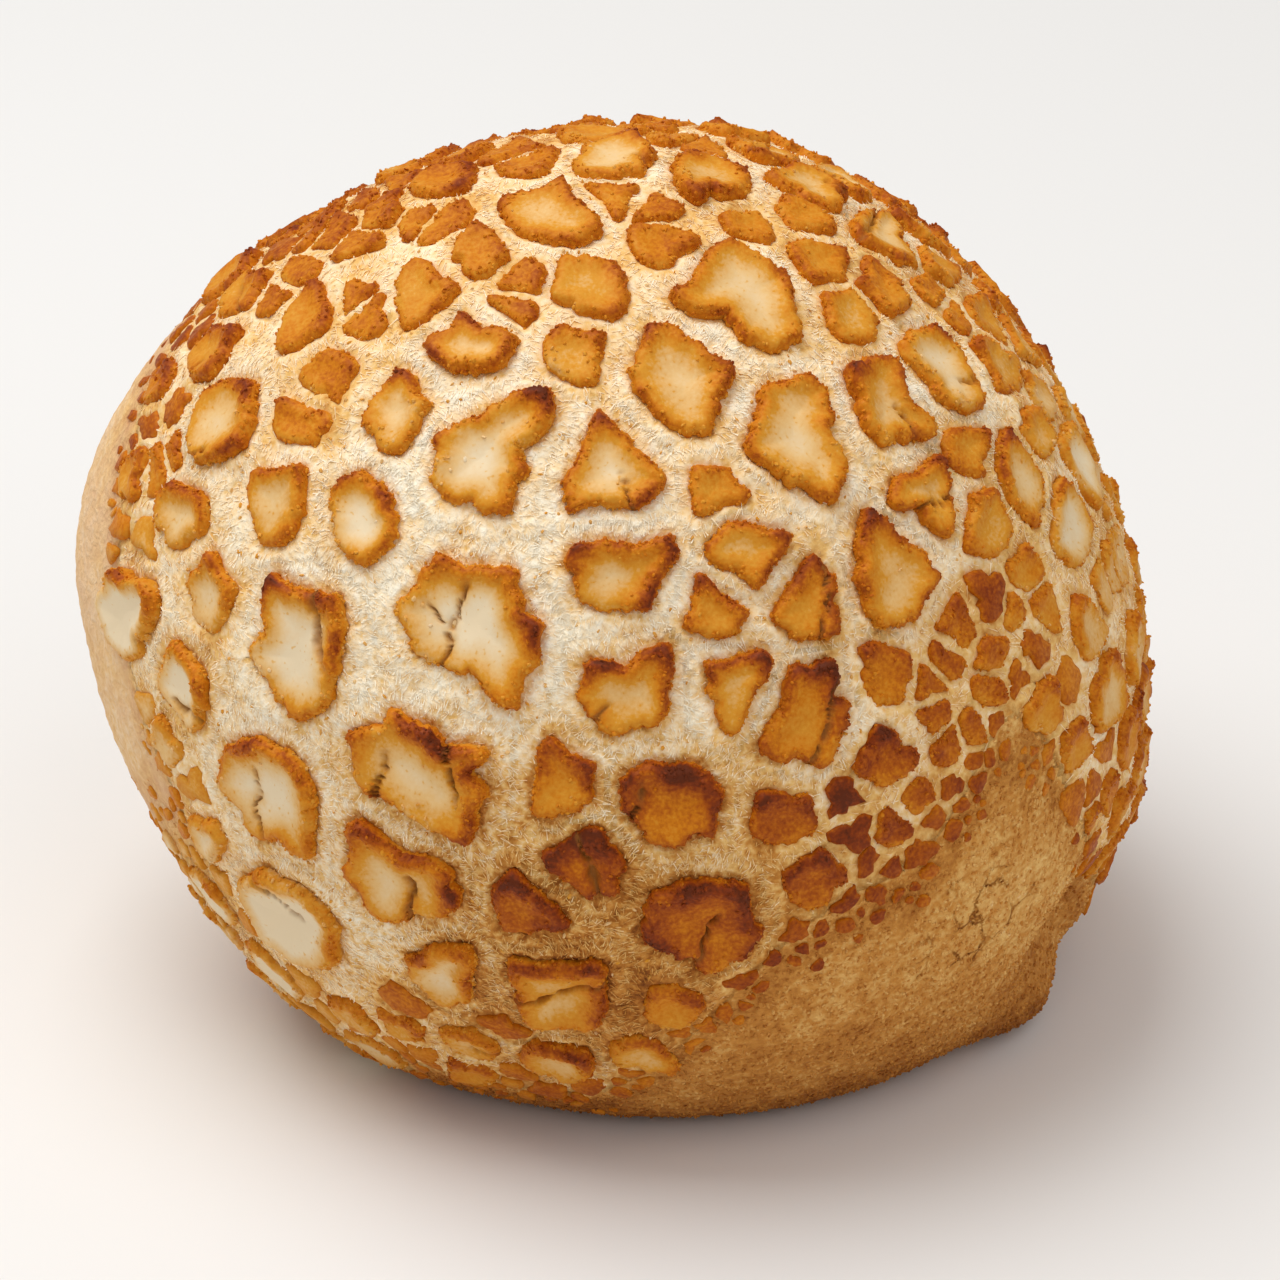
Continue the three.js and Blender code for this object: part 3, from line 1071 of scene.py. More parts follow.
@dataclass(frozen=True)
class PaleFloor:
    """Matte off-white board that the roll stands on."""

    name: str = "pale_board"
    colour: str = "#EAE8E5"
    roughness: float = 0.9

    def material(self) -> Finish:
        """Builds the material: one even matte colour.

        Returns:
            The material.
        """
        material = bpy.data.materials.new(self.name)
        material.use_nodes = True
        look = {"Base Color": linear(self.colour), "Roughness": self.roughness}
        feed(material.node_tree.nodes["Principled BSDF"], look)
        return material


# Sub-assemblies


@dataclass
class Dough:
    """The body of dough: torn crumb in the cracks and bare crust below the paste."""

    form: DoughForm
    crackle: Crackle
    grid: int = 128
    top_pull: float = 0.3
    soft_rounds: int = 8
    pillow_height: float = 0.52
    pillow_sunk: float = 0.1
    fibre_height: float = 0.2
    left_cheek: Pair = (-95.0, 58.0)
    grain_pole: Pair = (10.0, 55.0)
    crazed: Triple = (40.0, -15.0, 8.0)
    fluffed: Spots = ((-14, -8, 32, 0.5),)
    lumps: Ripple = Ripple(0.35, 15.0, 6)
    fibres: Ripple = Ripple(1.0, 0.9, 7)
    crumbs: Ripple = Ripple(0.8, 1.3, 8)
    tufts: Ripple = Ripple(0.4, 2.6, 18)
    bare_bumps: Ripples = (Ripple(0.12, 1.1, 16), Ripple(0.2, 3.4, 17))
    crack_bake: float = 0.19
    crack_patches: Ripples = (Ripple(0.12, 9.0, 11), Ripple(0.18, 3.0, 14))
    bare_bake: float = 0.56
    bare_patches: Ripples = (Ripple(0.1, 7.0, 12), Ripple(0.12, 1.6, 15))
    paste_edge: Ripple = Ripple(2.0, 4.0, 13)
    blush_patches: Ripples = (Ripple(0.25, 9.0, 20), Ripple(0.2, 2.2, 32))
    craze_patches: Ripple = Ripple(1.0, 3.5, 19)
    # Where torn crumb and bare crust are browner or paler: longitude, latitude, spread and amount; the strong
    # spot at the lower front of the crumb is partly its own browning and partly painted shade
    crack_spots: Spots = (
        (-4, -10, 20, 0.47), (-32, -12, 20, 0.04), (26, 4, 14, 0.04), (70, 20, 26, 0.05),
        (-15, 30, 30, -0.04),
    )
    bare_spots: Spots = ((50, -16, 9, -0.06), (61, -34, 9, 0.12), (28, -34, 16, 0.1), (-80, 0, 45, -0.2))

    def __post_init__(self) -> None:
        """Lays out the even surface, and how it lies to the paste and to the plates."""
        self.towards, self.quads = self._sphere()
        self.flat = self.form.points(self.towards)
        self.margin = self.form.inside_paste(self.towards)
        self.rims = self.crackle.rims(self.towards)
        widths = self.crackle.cells.widths[self.rims.cell]
        # Shares for lying in paste, in an open crack, beside small plates and off the base
        self.pasted = smooth(-1.0, 3.0, self.margin)
        self.opened = smooth(-0.2, 0.4, self.rims.gap)
        self.narrow = self._softened(1 - smooth(5.5, 9.0, widths))
        self.raised = smooth(0.0, 4.0, self.flat[:, 2])
        # Fibres run away from the rims in cracks, and along one grain on bare crust
        east, north = np.cos(self.rims.angle) * (widths / 2), np.sin(self.rims.angle) * (widths / 2)
        beside = np.stack([east, north, self.rims.away * 0.2 + self.rims.cell * 3.7], axis=1)
        self.grain = unit(np.cross(self.towards, direction(*self.grain_pole)))
        plain = self.flat - 0.7 * np.sum(self.flat * self.grain, axis=1, keepdims=True) * self.grain
        self.fibre = np.where((self.margin > 1.0)[:, None], beside, plain)

    def _sphere(self) -> tuple[Array, Array]:
        """Makes an even ball, denser towards the top.

        Returns:
            Unit vectors, and four point numbers for each quad.
        """
        steps = np.tan(np.linspace(-np.pi / 4, np.pi / 4, self.grid + 1))
        u, v = np.meshgrid(steps, steps, indexing="ij")
        one = np.ones_like(u)
        sides = ((one, u, v), (-one, -u, v), (-u, one, v), (u, -one, v), (-v, u, one), (v, u, -one))
        towards = unit(np.concatenate([np.stack(side, axis=-1).reshape(-1, 3) for side in sides]))
        _, first, number = np.unique(np.round(towards, 5), axis=0, return_index=True, return_inverse=True)
        row = self.grid + 1
        corner = (np.arange(self.grid)[:, None] * row + np.arange(self.grid)).ravel()
        quad = np.stack([corner, corner + row, corner + row + 1, corner + 1], axis=1)
        quads = np.concatenate([quad + side * row * row for side in range(len(sides))])
        return unit(towards[first] + [0, 0, self.top_pull]), number.ravel()[quads]

    def _softened(self, values: Array) -> Array:
        """Evens out values over the mesh, where each point takes the mean of its quads some times over.

        Args:
            values: One number for each point.

        Returns:
            The evened numbers.
        """
        corners = self.quads.ravel()
        shares = np.bincount(corners)
        for _ in range(self.soft_rounds):
            values = np.bincount(corners, np.repeat(values[self.quads].mean(axis=1), 4)) / shares
        return values

    def _lift(self) -> Array:
        """Height of the dough over its even surface: lumps, pillows of crumb in the cracks, and tufts.

        Returns:
            Millimetres for each point.
        """
        flat, gap, pasted, narrow = self.flat, self.rims.gap, self.pasted, self.narrow
        lift = self.lumps.at(flat) * self.opened
        tops = self._softened(self.crackle.cells.thickness[self.rims.cell]) * (0.82 + 0.18 * narrow)
        risen = smooth(0.0, 1.0, (gap + 0.8) / (1.9 - 0.6 * narrow))
        lift += pasted * (self.pillow_height * tops * risen - self.pillow_sunk)
        lift += self.form.waist.at(self.towards) * (1 - smooth(-9.0, -2.0, self.margin))
        rough = self.fibres.at(self.fibre) * fade(gap / 0.9) + self.crumbs.at(flat)
        lift += self.opened * (self.fibre_height * rough + pasted * self.tufts.at(flat))
        lift += (1 - pasted) * ripples_at(flat, self.bare_bumps)
        return lift * self.raised

    def _bake(self) -> Array:
        """How brown the dough is, from cream in the cracks to tan and brown below, with painted shade close
        beside the rims of wide plates and partly at the lower front.

        Returns:
            A share from 0 for each point.
        """
        flat, margin, narrow = self.flat, self.margin, self.narrow
        cracks = self.crack_bake + 0.15 * narrow + ripples_at(flat, self.crack_patches)
        # Spots of browning in the cracks; the one at the lower front is partly painted shade
        cracks += spot_amounts(self.towards, self.crack_spots).sum(axis=0)
        bare = self.bare_bake + ripples_at(flat, self.bare_patches)
        bare += spot_amounts(self.towards, self.bare_spots).sum(axis=0)
        bare += 0.2 * (1 - smooth(0.5, 9.0, flat[:, 2])) + 0.1 * fade((margin + 2.5) / 3.5)
        share = smooth(-3.0, 5.0, margin + self.paste_edge.at(flat))
        # Painted shade: the crumb turns browner close beside the rims of wide plates, where shade falls
        painted_rim_shade = 0.17 * self.pasted * (1 - narrow) * fade(np.maximum(self.rims.gap, 0.0) / 0.8)
        return np.clip(bare + (cracks - bare) * share, 0.0, 1.0) + painted_rim_shade

    def _values(self) -> dict[str, Array]:
        """Values that the points hand to the dough's finish and to what is scattered on it.

        Returns:
            Numbers or vectors for each point, by attribute name.
        """
        flat, margin, gap, pasted = self.flat, self.margin, self.rims.gap, self.pasted
        calm = 1 - 0.75 * self.narrow * pasted
        middle, wide = self.left_cheek
        leftness = fade((longitude_of(self.towards) - middle) / wide, 6)
        low_left = leftness * (1 - smooth(-3.0, 2.0, margin)) * smooth(3.0, 14.0, flat[:, 2])
        *centre, spread = self.crazed
        crazing = fade(degrees_between(self.towards, direction(*centre)) / spread, 4)
        cracks = self.opened * smooth(0.0, 5.0, margin) * smooth(0.2, 0.7, gap)
        return {
            "bake": self._bake(),
            "blush": (0.52 + ripples_at(flat, self.blush_patches)) * low_left,
            "craze": crazing * smooth(-0.25, 0.25, self.craze_patches.at(flat)),
            "fibre": self.fibre,
            "fluffy": 0.4 + pasted * (0.15 + spot_amounts(self.towards, self.fluffed)[0]),
            "streak": (0.15 + 0.6 * fade(gap / 0.8)) * calm + 0.35 * (1 - pasted),
            "calm": calm,
            "pull": np.where((margin > 1.0)[:, None], self.rims.pull, self.grain),
            "cracks": cracks,
            "cracks_front": cracks * (flat[:, 1] < 0),
            "cracks_back": cracks * (flat[:, 1] >= 0),
            "bare": (1 - smooth(-2.0, 4.0, margin)) * self.raised * self.opened * (1 - leftness),
        }

    def build(self, material: Finish) -> Piece:
        """Builds the dough in place of the part's plain solid.

        Args:
            material: Finish of the dough.

        Returns:
            The piece.
        """
        points = self.form.points(self.towards, self._lift())
        piece = place("dough", make_mesh("dough", points, self.quads, self._values()), material)
        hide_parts("roll")
        return piece


class Zone(Enum):
    """Groups of plates: the large ones on the crown, and the others by longitude from and to."""

    CROWN = (0.0, 0.0)
    FRONT = (-75.0, 12.0)
    RIGHT = (12.0, 125.0)
    BACK = (125.0, 285.0)

    @property
    def label(self) -> str:
        """The zone's part of a piece's name."""
        return self.name.lower()


@dataclass(frozen=True)
class Split:
    """A crack right through a plate: its place and direction on the plate's face, its ends and its width."""

    x: float
    y: float
    turn: float
    start: float
    stop: float
    width: float


@dataclass
class CrustPieces(ABC):
    """Cells of crust that are built as closed shells and joined in one piece."""

    crackle: Crackle
    edge_step: float = 0.34
    around: tuple[int, int] = (26, 400)
    sunk: float = 0.4
    dip: float = 0.05

    @property
    @abstractmethod
    def name(self) -> str:
        """Name of the piece."""

    @abstractmethod
    def members(self) -> list[int]:
        """Numbers of the cells in this piece."""

    @abstractmethod
    def _shell(self, cell: int) -> Shell:
        """Builds one cell as a closed shell.

        Args:
            cell: Number of the cell.

        Returns:
            Its points, its triangles, and values for each point.
        """

    def _rim(self, cell: int) -> tuple[Array, Array]:
        """Sets points along a cell's rim.

        Args:
            cell: Number of the cell.

        Returns:
            Their angles, and how far the cell reaches at each.
        """
        fewest, most = self.around
        count = round(TURN * self.crackle.outlines[cell].mean() / self.edge_step)
        angle = even_angles(min(most, max(fewest, count)))
        return angle, self.crackle.reach_at(cell, angle)

    def _closed(self, cell: int, x: Array, y: Array, lift: Array) -> tuple[Array, Array]:
        """Closes rings of points above and below.

        Args:
            cell: Number of the cell.
            x: Millimetres along the first direction of its face, one row for each ring from foot to middle.
            y: Millimetres along the second direction.
            lift: Millimetres above the dough.

        Returns:
            Points of the shell, and three point numbers for each triangle.
        """
        crackle, (rows, around) = self.crackle, x.shape
        middle = np.zeros(1)
        top = middle + (float(lift[-1].mean()) - self.dip)
        rings = ((x, y, lift), (middle, middle, top), (middle, middle, middle - self.sunk))
        points = [
            crackle.form.points(crackle.across(cell, ring_x, ring_y), height).reshape(-1, 3)
            for ring_x, ring_y, height in rings
        ]
        here = np.arange(around)
        onward = (here + 1) % around
        parts = []
        for low in range(0, (rows - 1) * around, around):
            high = low + around
            parts.append(np.stack([low + here, low + onward, high + onward], axis=1))
            parts.append(np.stack([low + here, high + onward, high + here], axis=1))
        last, tip = (rows - 1) * around, rows * around
        parts.append(np.stack([last + here, last + onward, np.full(around, tip)], axis=1))
        parts.append(np.stack([onward, here, np.full(around, tip + 1)], axis=1))
        return np.concatenate(points), np.concatenate(parts)

    def build(self, material: Finish) -> Piece:
        """Builds all cells as one piece.

        Args:
            material: Finish of the cells.

        Returns:
            The piece.
        """
        points, faces, values = zip(*(self._shell(cell) for cell in self.members()))
        starts = np.cumsum([0] + [len(some) for some in points])
        faces = np.concatenate([some + start for some, start in zip(faces, starts)])
        joined = {key: np.concatenate([part[key] for part in values]) for key in values[0]}
        return place(self.name, make_mesh(self.name, np.concatenate(points), faces, joined), material)


@dataclass
class PlateFace:
    """Rings of points over one plate, from its foot and wall over the rim to the middle.

    Holds the plate's number, width and tone, places on its face and on the dough below, distances from the
    rim, how far each angle faces up, how much of the charred rim is at each point, and the thickness there.
    """

    cell: int
    width: float
    tone: float
    x: Array
    y: Array
    base: Array
    near: Array
    upward: Array
    charred: Array
    thick: Array


@dataclass
class CrustPlates(CrustPieces):
    """Plates of crackled paste on one side of the roll: dished, curled, ragged and charred at the rims."""

    zone: Zone = Zone.CROWN
    ring_step: float = 0.45
    fewest_rings: int = 5
    wall: float = 0.35
    wall_rise: float = 0.22
    height: float = 0.84
    curl: float = 0.3
    lip: float = 0.32
    lip_inset: float = 0.8
    lip_spread: float = 0.7
    dish: float = 0.55
    full_width: float = 11.0
    split_depth: float = 0.85
    corner_height: float = 0.75
    lifted: Triple = (0.45, -0.1, 0.88)
    wall_bake: Triple = (0.26, 0.34, 0.46)
    rim_lumps: Ripples = (Ripple(0.26, 1.0, 21), Ripple(0.16, 0.5, 28))
    swells: Ripple = Ripple(0.12, 3.2, 22)
    rim_waves: Ripple = Ripple(0.9, 3.8, 27)
    edge_patches: Ripple = Ripple(1.0, 3.4, 30)
    top_patches: Ripple = Ripple(0.05, 2.2, 23)
    wall_wobble: Ripple = Ripple(0.14, 0.6, 25)
    wall_patches: Ripple = Ripple(0.14, 1.4, 26)
    split_waves: Ripples = (Ripple(0.8, 2.4, 24), Ripple(0.35, 0.9, 29))
    # Splits of the main plates, by the number of the plate
    splits: tuple[tuple[int, Split], ...] = (
        (2, Split(-1.6, -0.8, 79, -9, 6, 0.24)),
        (2, Split(-3.5, 1.2, -53, -1.7, 2.2, 0.17)),
        (3, Split(1.9, 2.2, -67, -9, 4, 0.36)),
        (4, Split(2.9, 0.3, 100, -3.5, 3.5, 0.22)),
        (4, Split(-4.0, 0.2, 80, -9, 1.5, 0.22)),
        (5, Split(-1.5, 0.0, 95, -6, 3, 0.17)),
        (6, Split(1.3, -1.5, -84, -2, 9, 0.26)),
        (7, Split(1.0, 1.5, -30, -8, 2, 0.2)),
        (8, Split(-0.5, 0.0, 20, -7, 7, 0.2)),
        (10, Split(0.5, 0.0, 70, -7, 2, 0.2)),
        (14, Split(-2.0, -2.0, 40, -6, 1, 0.3)),
        (32, Split(0.0, 0.0, 110, -5, 5, 0.25)),
    )

    @property
    def name(self) -> str:
        """Name of the piece."""
        return f"plates_{self.zone.label}"

    def members(self) -> list[int]:
        """Finds the plates on this side.

        Returns:
            Their numbers.
        """
        whole = len(self.crackle.main_plates)
        if self.zone is Zone.CROWN:
            return list(range(whole))
        low, high = self.zone.value
        longitude = longitude_of(self.crackle.cells.towards[whole : self.crackle.plate_count])
        return (np.flatnonzero((longitude - low) % 360 < high - low) + whole).tolist()

    def _splits(self, cell: int) -> list[Split]:
        """Finds the splits of a plate: set ones on main plates, and drawn ones on some of the others.

        Args:
            cell: Number of the plate.

        Returns:
            Its splits.
        """
        found = [split for number, split in self.splits if number == cell]
        drawn = draws(Seed.SPLITS + cell, 5)
        reach = self.crackle.cells.widths[cell] / 2
        if not found and reach > 3.3 and drawn[0] < 0.25:
            x, y = (drawn[1:3] - 0.5) * reach
            found.append(Split(x, y, 180 * drawn[3], -9, 9 if drawn[4] < 0.4 else 0.5, 0.18))
        return found

    @staticmethod
    def _eased(rim: Array) -> Array:
        """An outline from its first few waves alone, without the small jags."""
        return np.fft.irfft(np.fft.rfft(rim)[:5], len(rim))

    def _face(self, cell: int) -> PlateFace:
        """Lays rings of points over a plate.

        Args:
            cell: Number of the plate.

        Returns:
            The rings.
        """
        crackle, cells = self.crackle, self.crackle.cells
        width, tone = cells.widths[cell], crackle.tones[cell]
        mean = crackle.outlines[cell].mean()
        angle, rim = self._rim(cell)
        rings = max(self.fewest_rings, round(mean / self.ring_step))
        inward = (np.arange(rings) / rings) ** 1.2
        share = np.concatenate([[1 - self.wall / mean, 1.0], 1 - inward])[:, None]
        even = rim.mean() + 0.5 * (self._eased(rim) - rim.mean())
        reach = share * even + share**3 * (rim - even)
        east, north = np.cos(angle), np.sin(angle)
        x, y = east * reach, north * reach
        base = crackle.form.points(crackle.across(cell, x, y))
        near = np.hypot(x[..., None] - east * rim, y[..., None] - north * rim).min(axis=-1)
        near[:3] = 0.0
        upward = east * (crackle.first[cell] @ self.lifted) + north * (crackle.second[cell] @ self.lifted)
        band = 1 + self.rim_waves.at(base) + 0.4 * upward + 1.8 * min(tone, 0.0)
        charred = fade(near / np.maximum((0.6 + 0.05 * width) * band, 0.35))
        # Plates curl up to one side and are thicker on the top of the roll
        thick = self.height * cells.thickness[cell] * (0.78 + 0.22 * smooth(5.0, 11.0, width))
        thick = thick * (1 + self.curl * np.sin(angle + cells.turns[cell, 2]) * share)
        thick = thick * (1 + 0.25 * smooth(0.68, 0.86, cells.towards[cell, 2]))
        return PlateFace(cell, width, tone, x, y, base, near, upward, charred, thick)

    def _lift(self, face: PlateFace) -> Array:
        """Height of the plate's top: a lip along the rim, a dish inside it, and lumps.

        Args:
            face: The plate's rings.

        Returns:
            Millimetres above the dough.
        """
        size = min(1.0, face.width / self.full_width)
        lift = face.thick * (0.55 + 0.45 * smooth(0.0, 0.5, face.near))
        lip = self.lip * size * (1 + 0.7 * face.upward)
        lift += lip * fade((face.near - self.lip_inset) / self.lip_spread)
        lift -= self.dish * size**2 * smooth(self.lip_inset, 1.0 + 0.26 * face.width, face.near)
        lift += face.charred * ripples_at(face.base, self.rim_lumps)
        return lift + self.swells.at(face.base)

    def _bake(self, face: PlateFace) -> tuple[Array, Array]:
        """How brown the plate is: a pale centre, a golden ring and a charred rim.

        Args:
            face: The plate's rings.

        Returns:
            Shares for each point: the bake, and what it would be in the rim.
        """
        width, tone, upward = face.width, face.tone, face.upward
        golden_ring = fade(face.near / (0.5 + 0.12 * width), 1.7)
        centre = 0.46 - 0.42 * smooth(3.8, 9.2, width) + tone
        golden = 0.4 + 0.5 * tone + 0.06 * upward
        uneven = (0.14 + 0.26 * smooth(5.0, 11.0, width)) * self.edge_patches.at(face.base)
        edge = 0.43 + 0.1 * smooth(4.5, 8.5, width) + 0.5 * tone + 0.3 * min(tone, 0.0)
        edge = edge + 0.12 * upward + uneven
        bake = centre + (golden - centre) * golden_ring + (edge - golden) * face.charred
        return bake + self.top_patches.at(face.base), edge

    def _raise_corners(self, face: PlateFace, lift: Array, bake: Array) -> None:
        """Curls up and chars the corners of a plate.

        Args:
            face: The plate's rings.
            lift: Heights, which are raised in place.
            bake: Bake, which is raised in place.
        """
        width = face.width
        for corner, strength in self.crackle.corners[face.cell]:
            tip = self.crackle.reach_at(face.cell, corner) - 0.4
            away = np.hypot(face.x - math.cos(corner) * tip, face.y - math.sin(corner) * tip)
            close = fade(away / (1.0 + 0.1 * width))
            bake += 0.5 * strength * close * min(1.0, width / 8)
            lift += self.corner_height * strength * close

    def _split(self, face: PlateFace, bake: Array) -> Array:
        """Splits a plate; the share it returns both cuts the groove and paints shade inside the split.

        Args:
            face: The plate's rings.
            bake: Bake, which is raised beside the splits in place.

        Returns:
            A share for each point, 1 in the middle of a split.
        """
        crack = np.zeros_like(face.x)
        for split in self._splits(face.cell):
            east, north = math.cos(math.radians(split.turn)), math.sin(math.radians(split.turn))
            x, y = face.x - split.x, face.y - split.y
            along = x * east + y * north
            off = y * east - x * north + ripples_at(face.base, self.split_waves)
            inside = smooth(split.start, split.start + 1.5, along)
            inside = inside * (1 - smooth(split.stop - 1.5, split.stop, along))
            crack = np.maximum(crack, fade(off / split.width) * inside)
            bake += 0.12 * fade(off / 0.8) * inside
        return crack

    def _shell(self, cell: int) -> Shell:
        """Builds one plate as a closed shell.

        Args:
            cell: Number of the plate.

        Returns:
            Its points, its triangles, and values for each point.
        """
        face = self._face(cell)
        lift = self._lift(face)
        bake, edge = self._bake(face)
        self._raise_corners(face, lift, bake)
        crack = self._split(face, bake)
        lift -= self.split_depth * crack * face.thick
        # The foot is sunk in the dough, and the wall is paler than the rim
        lift[0] = -self.sunk
        lift[1] = self.wall_rise * face.thick[1]
        wobble = 1 + self.wall_wobble.at(face.base[:2]) / self.crackle.outlines[cell].mean()
        face.x[:2] *= wobble
        face.y[:2] *= wobble
        wall = np.array(self.wall_bake)[:, None] + 0.4 * face.tone + 0.5 * (bake[2] - edge[2])
        bake[:3] = wall + self.wall_patches.at(face.base[:3])
        grains = face.charred * (1 - 0.75 * smooth(0.3, 1.6, face.near))
        grains[0] = 0.0
        values = {
            "bake": np.append(bake, [bake[-1].mean(), 0.5]),
            # The split share mixes in the dark split colour: painted shade inside the splits
            "crack": np.append(crack * (face.near > 0.1), [crack[-1].mean(), 0.0]),
            "grains": np.append(grains, [0.0, 0.0]),
        }
        return *self._closed(cell, face.x, face.y, lift), values


@dataclass
class FringeFlakes(CrustPieces):
    """Small flakes where the paste ran thin along its edge: closed, rounded chips."""

    edge_step: float = 0.5
    around: tuple[int, int] = (9, 20)
    sunk: float = 0.3
    dip: float = 0.02
    curl: float = 0.35
    shares: Triple = (0.95, 1.0, 0.84)
    rise: Triple = (0.0, 0.55, 1.0)
    bake: float = 0.56
    uneven_bake: float = 0.24
    lumps: Ripple = Ripple(0.16, 0.9, 31)

    @property
    def name(self) -> str:
        """Name of the piece."""
        return "fringe_flakes"

    def members(self) -> list[int]:
        """Numbers of the flakes."""
        return list(range(self.crackle.plate_count, len(self.crackle.radii)))

    def _shell(self, cell: int) -> Shell:
        """Builds one flake as a closed shell.

        Args:
            cell: Number of the flake.

        Returns:
            Its points, its triangles, and values for each point.
        """
        crackle, cells, tone = self.crackle, self.crackle.cells, self.crackle.tones[cell]
        angle, rim = self._rim(cell)
        share = np.array(self.shares)[:, None]
        x, y = np.cos(angle) * rim * share, np.sin(angle) * rim * share
        thick = cells.thickness[cell] * (1 + self.curl * np.sin(angle + cells.turns[cell, 2]) * share)
        lift = thick * np.array(self.rise)[:, None]
        lift += self.lumps.at(crackle.form.points(crackle.across(cell, x, y))) * (lift > 0)
        lift[0] = -self.sunk
        drawn = draws(Seed.FLAKE_TONES + cell, 1)[0] - 0.5
        own = self.bake + 0.8 * tone + 0.5 * min(tone, 0.0) + self.uneven_bake * drawn
        rings = np.repeat([0.2 + 0.45 * own, 0.25 + 0.45 * own, 0.2 + 0.7 * own], len(angle))
        values = {"bake": np.append(rings, [own + 0.04, own]), "crack": np.zeros(len(rings) + 2)}
        return *self._closed(cell, x, y, lift), values


class Bit(Enum):
    """Small shapes that are scattered."""

    GRAIN = "grain"
    STRAND = "strand"


